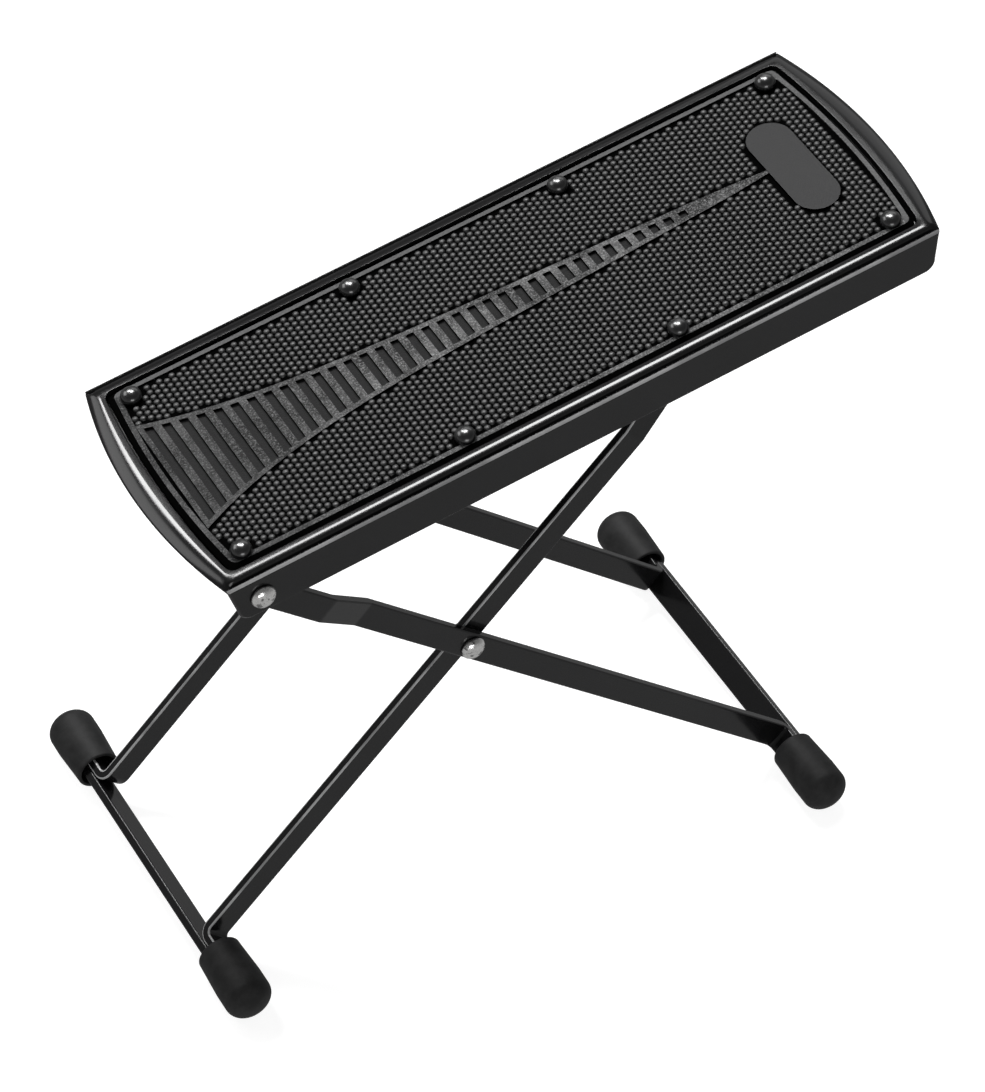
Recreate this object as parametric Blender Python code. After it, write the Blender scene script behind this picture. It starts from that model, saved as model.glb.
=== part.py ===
"""Folding guitar footrest: a pressed steel foot plate with a rubber mat, carried by two crossed,
riveted leg frames. The inner frame's top rod sits under a notched rack, which sets the height.

Metres, +Z up. X runs along the floor from the pivoted end to the raised end and Y runs across.
The plate has its own frame: its origin is the pivot axis, x runs along it and z is square to it.
A side is +1 at the back (+Y) and -1 at the front (-Y).
"""
from math import asin, atan2, cos, degrees, pi, radians, sin

import bmesh
import bpy
import numpy as np

# Foot plate, pressed from sheet
PLATE_LENGTH = 0.247            # between the corners; the bowed ends reach further
PLATE_WIDTH = 0.0946
PLATE_END_BOW = 0.0068
PLATE_CORNER_RADIUS = 0.0022
SHEET = 0.0012
PIVOT_INSET = 0.0103            # pivot axis from the plate's corner
RIM_TOP_ABOVE_PIVOT = 0.0094
RIM_WIDTH = 0.0058              # outer edge to the recess floor along the sides
RIM_END_WIDTH = 0.0043          # and at the ends' corners
RIM_CREST_INSET = 0.0041
RIM_EDGE_SLOPE = radians(40)    # the rolled rim's slope at its outer edge
RIM_INNER_RADIUS = 0.0008
RECESS_DEPTH = 0.0026
RECESS_FILLET = 0.0005
RECESS_END_BOW = 0.0028
RECESS_CORNER_RADIUS = 0.0034
SKIRT_PROUD = 0.0003
SKIRT_TOP_DROP = 0.0011         # its top edge below the rim's crest
SKIRT_HEIGHT = 0.0158
SKIRT_CORNER_RADIUS = 0.0042
SKIRT_END_SLOPE = 0.0020

# Rubber mat
MAT_THICKNESS = 0.0017
MAT_SIDE_GAP = 0.0005
MAT_EDGE_RUN = 0.0016           # its sloped edge, inwards and down
MAT_EDGE_DROP = 0.0009
MAT_BORDER = 0.0032
MAT_FIELD_DROP = 0.0005         # the textured field below the smooth border
MAT_CORNER_RADIUS = 0.0026
TREAD_PITCH = 0.0052
TREAD_CELL_LENGTH = 0.0027
TREAD_CELL_LEAST_HALF_WIDTH = 0.0011   # the cells stop where they would be narrower
TREAD_CELL_DEPTH = 0.0009
TREAD_TIP_HALF_WIDTH = 0.0006
TREAD_TAPER = 0.0099            # its slow widening on each side, from the tip to the wide end
TREAD_TAPER_POWER = 0.75
TREAD_BACK_FLARE = 0.0112       # what the wide end adds at the back
TREAD_FRONT_FLARE = 0.0160      # and at the front
TREAD_FLARE_POWER = 6
TREAD_FRAME = 0.0017            # the edge left round the cells
TREAD_OFFSET = 0.0035           # its centre line towards the back
BADGE_LENGTH = 0.0418
BADGE_WIDTH = 0.0152
TREAD_RISE = 0.0001             # the tread and the bare badge pad above the border
BADGE_RISE = 0.0003
BADGE_END_INSET = 0.0225        # its middle from the plate's corners
BADGE_OFFSET = 0.0010

# Dome-headed mat rivets, in two rows of four
MAT_RIVET_END_INSET = 0.0107    # outer rivets from the plate's corners
MAT_RIVET_SIDE_INSET = 0.0111   # both rows from the plate's sides
MAT_RIVET_INNER_SHARE = 0.328   # inner rivets' place between the plate's middle and the outer ones
MAT_RIVET_HEAD_RADIUS = 0.0034
MAT_RIVET_HEAD_HEIGHT = 0.0030
MAT_RIVET_SHANK_RADIUS = 0.0015
MAT_RIVET_TAIL_RADIUS = 0.0026
MAT_RIVET_TAIL_THICKNESS = 0.0008

# Flat bars of both frames
BAR_WIDTH = 0.0092
BAR_THICKNESS = 0.0030
BAR_EDGE = 0.00045              # chamfer on its long edges
BEND_RADIUS = 0.0034            # to the bar's middle
JOG_BEND_RADIUS = 0.0060
PIVOT_TO_SCISSOR = 0.1009
PIVOT_TO_FOOT = 0.2663
SCISSOR_TO_FOOT = 0.1324
SCISSOR_TO_ROD = 0.1206
OPEN_ANGLE = radians(50.63)      # outer legs below the plate, at rest
FOLDED_ANGLE = radians(1.0)     # outer legs below the plate, folded
INNER_FOLDED_ANGLE = radians(0.5)
OUTER_JOG_START = 0.0300        # along the leg from the pivot
OUTER_JOG_END = 0.0490
OUTER_JOG = 0.0042
INNER_JOG_START = 0.0840        # along the leg from the scissor rivet
INNER_JOG_END = 0.1060
INNER_JOG = 0.0030

# Rivets, washers and the rod
FIT_GAP = 0.0003                # between pieces that touch or turn on each other
RIVET_HEAD_RADIUS = 0.0041
RIVET_HEAD_HEIGHT = 0.0026
RIVET_SHANK_RADIUS = 0.0023
RIVET_TAIL_RADIUS = 0.0034
RIVET_TAIL_THICKNESS = 0.0011
WASHER_RADIUS = 0.0041
WASHER_THICKNESS = 0.0006
ROD_RADIUS = 0.0030
ROD_TENON_RADIUS = 0.0020
ROD_PEEN_RADIUS = 0.0029
ROD_PEEN_THICKNESS = 0.0009

# Notched rack rails under the plate
RACK_NOTCHES = 6
RACK_PITCH = 0.0080
RACK_FLANGE_WIDTH = 0.0090
RACK_THICKNESS = 0.0016
RACK_FROM_MIDDLE = 0.0210       # its web from the plate's centre line
RACK_TIP_BELOW_PIVOT = 0.0008
RACK_NOTCH_DEPTH = 0.0031
RACK_TOOTH_LAND = 0.0008
RACK_RAMP_START = radians(120)   # where a notch's round root runs out into its ramp
RACK_END_MARGIN = 0.0046
ROD_TO_TOOTH_GAP = 0.0004       # lets the rod pass under every tooth

# Rubber feet
CAP_RADIUS = 0.0080
CAP_MOUTH_RADIUS = 0.0073
CAP_BORE_RADIUS = 0.0061
CAP_LENGTH = 0.0254
CAP_DOME = 0.0056
CAP_BAND = 0.0062               # full-width band behind the dome
CAP_LIP = 0.0006
CAP_END_WALL = 0.0045
CAP_OFF_BEND = 0.0036           # mouth past the leg's bend

# Smoothness
ROUND_SEGMENTS = 16              # of a drilled hole
CAP_SEGMENTS = 24
HEAD_SEGMENTS = 20
BOW_STEPS = 12
CORNER_STEPS = 4
ARC_STEPS = 4
BEND_STEPS = 6                   # in a right-angled bend
TREAD_STEPS = 24
TREAD_STEP_POWER = 1.5           # closer steps where the tread flares
DOME_STEPS = 4
CUT_OVERRUN = 0.002
SHARP_ANGLE = radians(32)

# Levels in the plate's frame, and half sizes across it
MAT_TOP = RIM_TOP_ABOVE_PIVOT - RECESS_DEPTH + FIT_GAP + MAT_THICKNESS
FLOOR_TOP = RIM_TOP_ABOVE_PIVOT - RECESS_DEPTH
FLOOR_UNDERSIDE = FLOOR_TOP - SHEET
SKIRT_TOP = RIM_TOP_ABOVE_PIVOT - SKIRT_TOP_DROP
SKIRT_OUTER = PLATE_WIDTH / 2 + SKIRT_PROUD
SKIRT_INNER = SKIRT_OUTER - SHEET
PLATE_MIDDLE = PLATE_LENGTH / 2 - PIVOT_INSET
OUTER_LEG_AT_PIVOT = SKIRT_INNER - FIT_GAP - BAR_THICKNESS / 2
OUTER_LEG_AT_SCISSOR = OUTER_LEG_AT_PIVOT - OUTER_JOG
INNER_LEG_AT_SCISSOR = OUTER_LEG_AT_SCISSOR - BAR_THICKNESS - WASHER_THICKNESS - 2 * FIT_GAP
INNER_LEG_AT_ROD = INNER_LEG_AT_SCISSOR - INNER_JOG
HOLE_RADIUS = RIVET_SHANK_RADIUS + FIT_GAP
STACK_OFFSET = (BAR_THICKNESS + FIT_GAP) / 2


def clear_scene():
    for old in list(bpy.data.objects):
        bpy.data.objects.remove(old, do_unlink=True)


def material(name, colour, roughness, metallic=0.0):
    made = bpy.data.materials.new(name)
    made.use_nodes = True
    shader = made.node_tree.nodes["Principled BSDF"]
    shader.inputs["Base Color"].default_value = (*colour, 1.0)
    shader.inputs["Roughness"].default_value = roughness
    shader.inputs["Metallic"].default_value = metallic
    return made


def make_materials():
    return {
        "powder_coat": material("powder_coated_steel", (0.020, 0.020, 0.021), 0.42),
        "rubber": material("mat_rubber", (0.016, 0.016, 0.017), 0.62),
        "cap_rubber": material("foot_rubber", (0.022, 0.022, 0.023), 0.50),
        "gloss": material("gloss_black_steel", (0.012, 0.012, 0.012), 0.14),
        "nickel": material("nickel_plated_steel", (0.60, 0.60, 0.60), 0.28, 1.0),
        "nylon": material("black_nylon", (0.030, 0.030, 0.030), 0.50),
    }


def crisp_where_flat(mesh):
    mesh.shade_smooth()
    mesh.set_sharp_from_angle(angle=SHARP_ANGLE)


def add_object(name, points, faces, finish, parent=None):
    """A mesh object whose faces are turned outwards; flat stretches stay crisp, round ones smooth."""
    mesh = bpy.data.meshes.new(name)
    mesh.from_pydata([tuple(point) for point in points], [], faces)
    work = bmesh.new()
    work.from_mesh(mesh)
    bmesh.ops.recalc_face_normals(work, faces=work.faces)
    work.to_mesh(mesh)
    work.free()
    crisp_where_flat(mesh)
    made = bpy.data.objects.new(name, mesh)
    bpy.context.scene.collection.objects.link(made)
    if finish is not None:
        mesh.materials.append(finish)
    made.parent = parent
    return made


def empty(name, parent, location, turn_about_y):
    made = bpy.data.objects.new(name, None)
    bpy.context.scene.collection.objects.link(made)
    made.parent = parent
    made.location = location
    made.rotation_euler = (0, turn_about_y, 0)
    return made


def loft(rings):
    """Points and faces of a closed skin through rings of equally many points, capped at both ends."""
    rings = np.asarray(rings)
    count, size = rings.shape[:2]
    faces = [list(range(size)), list(range((count - 1) * size, count * size))]
    for ring in range(count - 1):
        for step in range(size):
            a = ring * size + step
            b = ring * size + (step + 1) % size
            faces.append([a, b, b + size, a + size])
    return rings.reshape(-1, 3), faces


def turned(profile, segments, closed=False, phase=0.0):
    """Points and faces of a profile of (radius, y) turned about the Y axis.

    An open profile starts and ends on the axis; a closed one never touches it.
    """
    points, rows, faces = [], [], []
    for radius, y in profile:
        if radius == 0:
            rows.append([len(points)] * segments)
            points.append((0, y, 0))
            continue
        rows.append(list(range(len(points), len(points) + segments)))
        for step in range(segments):
            angle = phase + 2 * pi * step / segments
            points.append((radius * cos(angle), y, radius * sin(angle)))
    pairs = list(zip(rows, rows[1:]))
    if closed:
        pairs.append((rows[-1], rows[0]))
    for lower, upper in pairs:
        for step in range(segments):
            after = (step + 1) % segments
            corners = [lower[step], lower[after], upper[after], upper[step]]
            faces.append(list(dict.fromkeys(corners)))
    return points, faces


def prism(outline, low, high, axis):
    """Points and faces of a flat outline carried from low to high along an axis (0, 1 or 2)."""
    rings = []
    for level in (low, high):
        rings.append([tuple(np.insert(np.asarray(point, float), axis, level)) for point in outline])
    return loft(rings)


def joined(parts):
    """One points and faces list of several separate closed shapes."""
    points, faces = [], []
    for more_points, more_faces in parts:
        start = len(points)
        points.extend(tuple(point) for point in more_points)
        faces.extend([index + start for index in face] for face in more_faces)
    return points, faces


def cylinder(radius, low, high, centre, axis, segments=ROUND_SEGMENTS):
    """A plain cutter along an axis, centred on a point given in the two other axes."""
    turn = [2 * pi * step / segments for step in range(segments)]
    outline = [(centre[0] + radius * cos(a), centre[1] + radius * sin(a)) for a in turn]
    return prism(outline, low, high, axis)


def combine(target, shapes, operation):
    """A Boolean of the target with other shapes in its own frame, kept as the target's mesh."""
    helper = add_object(target.name + "_helper", *joined(shapes), None, target)
    change = target.modifiers.new("combine", "BOOLEAN")
    change.operation = operation
    change.solver = "EXACT"
    change.object = helper
    bpy.context.view_layer.update()
    evaluated = target.evaluated_get(bpy.context.evaluated_depsgraph_get())
    result = bpy.data.meshes.new_from_object(evaluated)
    target.modifiers.remove(change)
    target.data = result
    bpy.data.objects.remove(helper, do_unlink=True)
    crisp_where_flat(result)


def bowed_outline(half_length, half_width, bow, corner):
    """Anticlockwise outline with straight long sides, bowed ends and rounded corners."""
    radius = (half_width ** 2 + bow ** 2) / (2 * bow)
    span = asin(half_width / radius)
    centre = half_length + bow - radius
    trim = corner / radius
    ends = []
    for side in (1, -1):
        arc = [side * (-1 + 2 * step / BOW_STEPS) * (span - trim) for step in range(BOW_STEPS + 1)]
        bowed = [(side * (centre + radius * cos(a)), side * radius * sin(side * a)) for a in arc]
        ends.append(bowed)
    outline = []
    for side, bowed in zip((1, -1), ends):
        tip = (side * half_length, -side * half_width)
        start = (side * (half_length - corner), -side * half_width)
        outline.extend(rounded_corner(start, tip, bowed[0])[:-1])
        outline.extend(bowed)
        tip = (side * half_length, side * half_width)
        end = (side * (half_length - corner), side * half_width)
        outline.extend(rounded_corner(bowed[-1], tip, end)[1:])
    return outline


def rounded_corner(start, tip, end):
    """Quadratic curve from start to end that leaves and arrives along the corner's two edges."""
    made = []
    for step in range(CORNER_STEPS + 1):
        t = step / CORNER_STEPS
        weights = ((1 - t) ** 2, 2 * t * (1 - t), t ** 2)
        made.append(tuple(sum(w * p[i] for w, p in zip(weights, (start, tip, end))) for i in (0, 1)))
    return made


def rim_profile():
    """The sheet's upper face from the outer edge to the recess floor, as (inset, level) pairs."""
    top = RIM_TOP_ABOVE_PIVOT
    roll = RIM_CREST_INSET / sin(RIM_EDGE_SLOPE)
    points = []
    for step in range(ARC_STEPS + 1):
        angle = RIM_EDGE_SLOPE * (1 - step / ARC_STEPS)
        points.append((RIM_CREST_INSET - roll * sin(angle), top - roll * (1 - cos(angle))))
    wall = RIM_WIDTH - RECESS_FILLET
    points.append((wall - RIM_INNER_RADIUS, top))
    points.append((wall - RIM_INNER_RADIUS * (1 - cos(pi / 4)), top - RIM_INNER_RADIUS * (1 - sin(pi / 4))))
    points.append((wall, top - RIM_INNER_RADIUS))
    points.append((wall, FLOOR_TOP + RECESS_FILLET))
    points.append((RIM_WIDTH, FLOOR_TOP))
    return points


def offset_profile(profile, distance):
    """The profile moved sideways by the sheet's thickness, square to itself with mitred corners."""
    line = np.asarray(profile)
    run = np.diff(line, axis=0)
    run /= np.linalg.norm(run, axis=1)[:, None]
    normal = np.stack([run[:, 1], -run[:, 0]], axis=1)
    before = np.vstack([normal[:1], normal])
    after = np.vstack([normal, normal[-1:]])
    mitre = before + after
    mitre /= (mitre * before).sum(axis=1)[:, None]
    return line + mitre * distance


def plate_ring(inset, level):
    """The plate's outline moved in by an inset, where the bow and corners blend to the recess's."""
    share = min(inset / RIM_WIDTH, 1)
    bow = PLATE_END_BOW + (RECESS_END_BOW - PLATE_END_BOW) * share
    corner = PLATE_CORNER_RADIUS + (RECESS_CORNER_RADIUS - PLATE_CORNER_RADIUS) * share
    half_length = PLATE_LENGTH / 2 - inset * RIM_END_WIDTH / RIM_WIDTH
    outline = bowed_outline(half_length, PLATE_WIDTH / 2 - inset, bow, corner)
    return [(x + PLATE_MIDDLE, y, level) for x, y in outline]


def skirt_outline():
    """Side view of a skirt: a long strip whose lower corners are rounded and whose ends lean in."""
    half = PLATE_LENGTH / 2 - PLATE_CORNER_RADIUS / 2
    foot = half - SKIRT_END_SLOPE
    bottom = SKIRT_TOP - SKIRT_HEIGHT
    outline = []
    for side in (-1, 1):
        arc = []
        for step in range(CORNER_STEPS + 1):
            angle = pi / 2 * step / CORNER_STEPS
            x = foot - SKIRT_CORNER_RADIUS * (1 - cos(angle))
            z = bottom + SKIRT_CORNER_RADIUS * (1 - sin(angle))
            arc.append((PLATE_MIDDLE + side * x, z))
        shoulder = (PLATE_MIDDLE + side * half, SKIRT_TOP)
        outline.extend([shoulder] + arc if side < 0 else arc[::-1] + [shoulder])
    return outline


def mat_rivet_places():
    outer = PLATE_LENGTH / 2 - MAT_RIVET_END_INSET
    inner = outer * MAT_RIVET_INNER_SHARE
    row = PLATE_WIDTH / 2 - MAT_RIVET_SIDE_INSET
    along, rows = (-outer, -inner, inner, outer), (-row, row)
    return [(PLATE_MIDDLE + x, y) for y in rows for x in along]


def add_foot_plate(frame, finish):
    """Pressed tray with a rolled rim and two folded skirts, drilled for every rivet."""
    upper = rim_profile()
    lower = offset_profile(upper, SHEET)[::-1]
    rings = [plate_ring(inset, level) for inset, level in upper[::-1]]
    rings += [plate_ring(inset, level) for inset, level in lower[::-1]]
    plate = add_object("foot_plate", *loft(rings), finish, frame)
    skirts = []
    for side in (-1, 1):
        skirts.append(prism(skirt_outline(), side * SKIRT_INNER, side * SKIRT_OUTER, 1))
    combine(plate, skirts, "UNION")
    hole = MAT_RIVET_SHANK_RADIUS + FIT_GAP
    low, high = FLOOR_UNDERSIDE - CUT_OVERRUN, FLOOR_TOP + CUT_OVERRUN
    drills = [cylinder(hole, low, high, place, 2) for place in mat_rivet_places()]
    for side in (-1, 1):
        ends = sorted((side * (SKIRT_INNER - CUT_OVERRUN), side * (SKIRT_OUTER + CUT_OVERRUN)))
        drills.append(cylinder(HOLE_RADIUS, *ends, (0, 0), 1))
    combine(plate, drills, "DIFFERENCE")
    return plate


def mat_ring(inset, level):
    half_length = PLATE_LENGTH / 2 - RIM_END_WIDTH - MAT_SIDE_GAP - inset
    half_width = PLATE_WIDTH / 2 - RIM_WIDTH - MAT_SIDE_GAP - inset
    outline = bowed_outline(half_length, half_width, RECESS_END_BOW, MAT_CORNER_RADIUS)
    return [(x + PLATE_MIDDLE, y, level) for x, y in outline]


def tread_half_widths(share):
    """The tread's reach to the front and to the back of its centre line, from its wide end (0) to
    its tip (1): a slow taper, and a flare that is wider at the front."""
    taper = TREAD_TIP_HALF_WIDTH + TREAD_TAPER * (1 - share) ** TREAD_TAPER_POWER
    flare = (1 - share) ** TREAD_FLARE_POWER
    return taper + TREAD_FRONT_FLARE * flare, taper + TREAD_BACK_FLARE * flare


def badge_centre():
    return PLATE_MIDDLE + PLATE_LENGTH / 2 - BADGE_END_INSET


def tread_span():
    start = PLATE_MIDDLE - PLATE_LENGTH / 2 + RIM_END_WIDTH + MAT_SIDE_GAP + MAT_EDGE_RUN
    tip = badge_centre() - BADGE_WIDTH / 2 + MAT_EDGE_DROP
    return start, tip


def tread_outline():
    start, tip = tread_span()
    shares = [(step / TREAD_STEPS) ** TREAD_STEP_POWER for step in range(TREAD_STEPS + 1)]
    front, back = [], []
    for share in shares:
        x = start + (tip - start) * share
        reach = tread_half_widths(share)
        front.append((x, TREAD_OFFSET - reach[0]))
        back.append((x, TREAD_OFFSET + reach[1]))
    return front + back[::-1]


def tread_cells():
    """The sunk cells between the tread's bars, each as wide as the tread is there less its frame."""
    start, tip = tread_span()
    cells = []
    for index in range(int((tip - start) / TREAD_PITCH)):
        near = start + TREAD_FRAME + index * TREAD_PITCH
        far = near + TREAD_CELL_LENGTH
        if min(tread_half_widths((far - start) / (tip - start))) < TREAD_FRAME + TREAD_CELL_LEAST_HALF_WIDTH:
            break
        front, back = [], []
        for x in (near, far):
            reach = tread_half_widths((x - start) / (tip - start))
            front.append((x, TREAD_OFFSET - reach[0] + TREAD_FRAME))
            back.append((x, TREAD_OFFSET + reach[1] - TREAD_FRAME))
        outline = front + back[::-1]
        cells.append(prism(outline, MAT_TOP - TREAD_CELL_DEPTH, MAT_TOP + CUT_OVERRUN, 2))
    return cells


def badge_outline():
    """A bare stadium across the mat."""
    radius = BADGE_WIDTH / 2
    straight = BADGE_LENGTH / 2 - radius
    centre = badge_centre()
    outline = []
    for side in (1, -1):
        for step in range(BOW_STEPS + 1):
            angle = pi * step / BOW_STEPS
            outline.append((centre + side * radius * cos(angle),
                            BADGE_OFFSET + side * (straight + radius * sin(angle))))
    return outline


def add_mat(frame, finish):
    """Moulded mat: smooth border, sunk field, tapered ladder tread and a bare badge pad."""
    underside = FLOOR_TOP + FIT_GAP
    field = MAT_TOP - MAT_FIELD_DROP
    rings = [mat_ring(0.0, underside), mat_ring(0.0, MAT_TOP - MAT_EDGE_DROP)]
    rings += [mat_ring(MAT_EDGE_RUN, MAT_TOP), mat_ring(MAT_BORDER, MAT_TOP)]
    rings += [mat_ring(MAT_BORDER + MAT_FIELD_DROP, field)]
    mat = add_object("rubber_mat", *loft(rings), finish, frame)
    root = field - MAT_FIELD_DROP
    combine(mat, [prism(tread_outline(), root, MAT_TOP + TREAD_RISE, 2)], "UNION")
    combine(mat, tread_cells(), "DIFFERENCE")
    combine(mat, [prism(badge_outline(), root, MAT_TOP + BADGE_RISE, 2)], "UNION")
    hole = MAT_RIVET_SHANK_RADIUS + FIT_GAP
    low, high = underside - CUT_OVERRUN, MAT_TOP + CUT_OVERRUN
    drills = [cylinder(hole, low, high, place, 2) for place in mat_rivet_places()]
    combine(mat, drills, "DIFFERENCE")
    return mat


def rivet_profile(head, tail, shank, seat, end):
    """(radius, y) of a dome-headed rivet: head seated at y = seat, tail set from y = end outwards.

    head is (radius, height) and tail is (radius, thickness); y falls from the head to the tail.
    """
    profile = []
    for step in range(DOME_STEPS + 1):
        angle = pi / 2 * step / DOME_STEPS
        profile.append((head[0] * sin(angle), seat + head[1] * cos(angle)))
    profile[0] = (0, seat + head[1])
    profile += [(shank, seat), (shank, end), (tail[0], end), (tail[0], end - tail[1]), (0, end - tail[1])]
    return profile


def add_mat_rivets(frame, finish):
    head = (MAT_RIVET_HEAD_RADIUS, MAT_RIVET_HEAD_HEIGHT)
    tail = (MAT_RIVET_TAIL_RADIUS, MAT_RIVET_TAIL_THICKNESS)
    seat = MAT_TOP + FIT_GAP
    end = FLOOR_UNDERSIDE - FIT_GAP
    profile = rivet_profile(head, tail, MAT_RIVET_SHANK_RADIUS, seat, end)
    for index, (x, y) in enumerate(mat_rivet_places()):
        rivet = add_object(f"mat_rivet_{index + 1}", *turned(profile, HEAD_SEGMENTS), finish, frame)
        rivet.rotation_euler = (pi / 2, 0, 0)
        rivet.location = (x, y, 0)


def rack_outline(first_notch):
    """Side view of a rack's web. Each notch is round at its root, steep towards the raised end,
    where the rod pushes, and sloped towards the pivot, where the rod comes in."""
    tips = -RACK_TIP_BELOW_PIVOT
    top = FLOOR_UNDERSIDE - FIT_GAP
    radius = ROD_RADIUS + FIT_GAP
    root = tips + RACK_NOTCH_DEPTH - radius
    stop = asin((tips - root) / radius)
    left = first_notch - RACK_END_MARGIN
    outline = [(left, top), (left, tips)]
    for index in range(RACK_NOTCHES):
        centre = first_notch + index * RACK_PITCH
        ramp_foot = centre - RACK_PITCH + radius * cos(stop) + RACK_TOOTH_LAND
        outline.append((max(ramp_foot, left + RACK_TOOTH_LAND), tips))
        for step in range(BEND_STEPS + 1):
            angle = RACK_RAMP_START + (stop - RACK_RAMP_START) * step / BEND_STEPS
            outline.append((centre + radius * cos(angle), root + radius * sin(angle)))
    right = first_notch + (RACK_NOTCHES - 1) * RACK_PITCH + RACK_END_MARGIN
    outline += [(right, tips), (right, top)]
    return outline


def add_racks(frame, finish, rod_x):
    """Two notched rails, each a web with a flange against the plate's underside."""
    outline = rack_outline(rod_x)
    top = outline[0][1]
    left, right = outline[0][0], outline[-1][0]
    for side, name in ((-1, "rack_rail_front"), (1, "rack_rail_back")):
        web = sorted((side * RACK_FROM_MIDDLE, side * (RACK_FROM_MIDDLE + RACK_THICKNESS)))
        rail = add_object(name, *prism(outline, *web, 1), finish, frame)
        inner = side * (RACK_FROM_MIDDLE + RACK_THICKNESS / 2)
        outer = side * (RACK_FROM_MIDDLE - RACK_FLANGE_WIDTH + RACK_THICKNESS)
        near, far = sorted((inner, outer))
        flange = [(left, near), (right, near), (right, far), (left, far)]
        combine(rail, [prism(flange, top - RACK_THICKNESS, top, 2)], "UNION")


def bar_section(half_width):
    """Chamfered rectangle of (through the bar, across the bar), anticlockwise."""
    a = BAR_THICKNESS / 2
    chamfer = min(BAR_EDGE, half_width / 2)
    b = half_width
    return [(a, -b + chamfer), (a, b - chamfer), (a - chamfer, b), (-a + chamfer, b),
            (-a, b - chamfer), (-a, -b + chamfer), (-a + chamfer, -b), (a - chamfer, -b)]


def bent_path(corners, radii):
    """Points and directions along straight runs joined by arcs, in the plane of (along, out)."""
    corners = [np.asarray(corner, float) for corner in corners]
    places = []
    heading = corners[1] - corners[0]
    places.append((corners[0], heading / np.linalg.norm(heading)))
    for before, corner, after, radius in zip(corners, corners[1:], corners[2:], radii):
        come = (corner - before) / np.linalg.norm(corner - before)
        leave = (after - corner) / np.linalg.norm(after - corner)
        turn = atan2(come[0] * leave[1] - come[1] * leave[0], come @ leave)
        reach = radius * abs(np.tan(turn / 2))
        side = 1 if turn > 0 else -1
        centre = corner - come * reach + side * radius * np.array([-come[1], come[0]])
        steps = max(2, round(abs(turn) / (pi / 2) * BEND_STEPS))
        for step in range(steps + 1):
            angle = turn * step / steps
            spin = np.array([[cos(angle), -sin(angle)], [sin(angle), cos(angle)]])
            heading = spin @ come
            places.append((centre - side * radius * np.array([-heading[1], heading[0]]), heading))
    heading = corners[-1] - corners[-2]
    places.append((corners[-1], heading / np.linalg.norm(heading)))
    return places


def bar_rings(places, side):
    """Rings of a flat bar along a bent path, whose first end is round as seen from the side."""
    point, heading = places[0]
    radius = BAR_WIDTH / 2
    stations = []
    for step in range(1, ARC_STEPS + 1):
        angle = pi / 2 * step / (ARC_STEPS + 1)
        stations.append((point - heading * radius * cos(angle), heading, radius * sin(angle)))
    stations += [(point, heading, radius) for point, heading in places]
    rings = []
    for point, heading, half_width in stations:
        out = np.array([-heading[1], heading[0]])
        ring = []
        for through, across in bar_section(half_width):
            along, offset = point + out * through
            ring.append((along, side * offset, across))
        rings.append(ring)
    return rings


def mirrored(shape):
    """The shape's mirror image from end to end of the leg."""
    points, faces = shape
    return [(-x, y, z) for x, y, z in points], faces


def toe_end(mouth):
    return mouth + CAP_LENGTH - CAP_END_WALL - FIT_GAP


def cap_mouth(leg_middle):
    """Where a cap's mouth lies across the footrest: just past the bend of the leg that it covers."""
    return leg_middle + BEND_RADIUS + CAP_OFF_BEND


def add_outer_legs(pivot, finish):
    """Legs riveted to the skirts: round end, jog inwards, straight run and a toe bent outwards."""
    toe = PIVOT_TO_FOOT - STACK_OFFSET
    mouth = cap_mouth(OUTER_LEG_AT_SCISSOR)
    corners = [(0, OUTER_LEG_AT_PIVOT), (OUTER_JOG_START, OUTER_LEG_AT_PIVOT),
               (OUTER_JOG_END, OUTER_LEG_AT_SCISSOR), (toe, OUTER_LEG_AT_SCISSOR), (toe, toe_end(mouth))]
    places = bent_path(corners, (JOG_BEND_RADIUS, JOG_BEND_RADIUS, BEND_RADIUS))
    for side, name in ((-1, "outer_leg_front"), (1, "outer_leg_back")):
        leg = add_object(name, *loft(bar_rings(places, side)), finish, pivot)
        reach = OUTER_LEG_AT_PIVOT + BAR_THICKNESS
        low = OUTER_LEG_AT_SCISSOR - BAR_THICKNESS
        ends = sorted((side * low, side * reach))
        drills = [cylinder(HOLE_RADIUS, *ends, (0, 0), 1),
                  cylinder(HOLE_RADIUS, *ends, (PIVOT_TO_SCISSOR, 0), 1)]
        combine(leg, drills, "DIFFERENCE")


def add_inner_legs(scissor, finish):
    """Legs that cross inside the outer ones: toe, straight run, and a jog inwards below the rod."""
    toe = SCISSOR_TO_FOOT - STACK_OFFSET
    mouth = cap_mouth(INNER_LEG_AT_SCISSOR)
    corners = [(-SCISSOR_TO_ROD, INNER_LEG_AT_ROD), (-INNER_JOG_END, INNER_LEG_AT_ROD),
               (-INNER_JOG_START, INNER_LEG_AT_SCISSOR), (toe, INNER_LEG_AT_SCISSOR), (toe, toe_end(mouth))]
    places = bent_path(corners, (JOG_BEND_RADIUS, JOG_BEND_RADIUS, BEND_RADIUS))
    for side, name in ((-1, "inner_leg_front"), (1, "inner_leg_back")):
        shape = mirrored(loft(bar_rings(places, side)))
        leg = add_object(name, *shape, finish, scissor)
        reach = INNER_LEG_AT_SCISSOR + BAR_THICKNESS
        low = INNER_LEG_AT_ROD - BAR_THICKNESS
        ends = sorted((side * low, side * reach))
        drills = [cylinder(HOLE_RADIUS, *ends, (0, 0), 1),
                  cylinder(ROD_TENON_RADIUS + FIT_GAP, *ends, (SCISSOR_TO_ROD, 0), 1)]
        combine(leg, drills, "DIFFERENCE")


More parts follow.
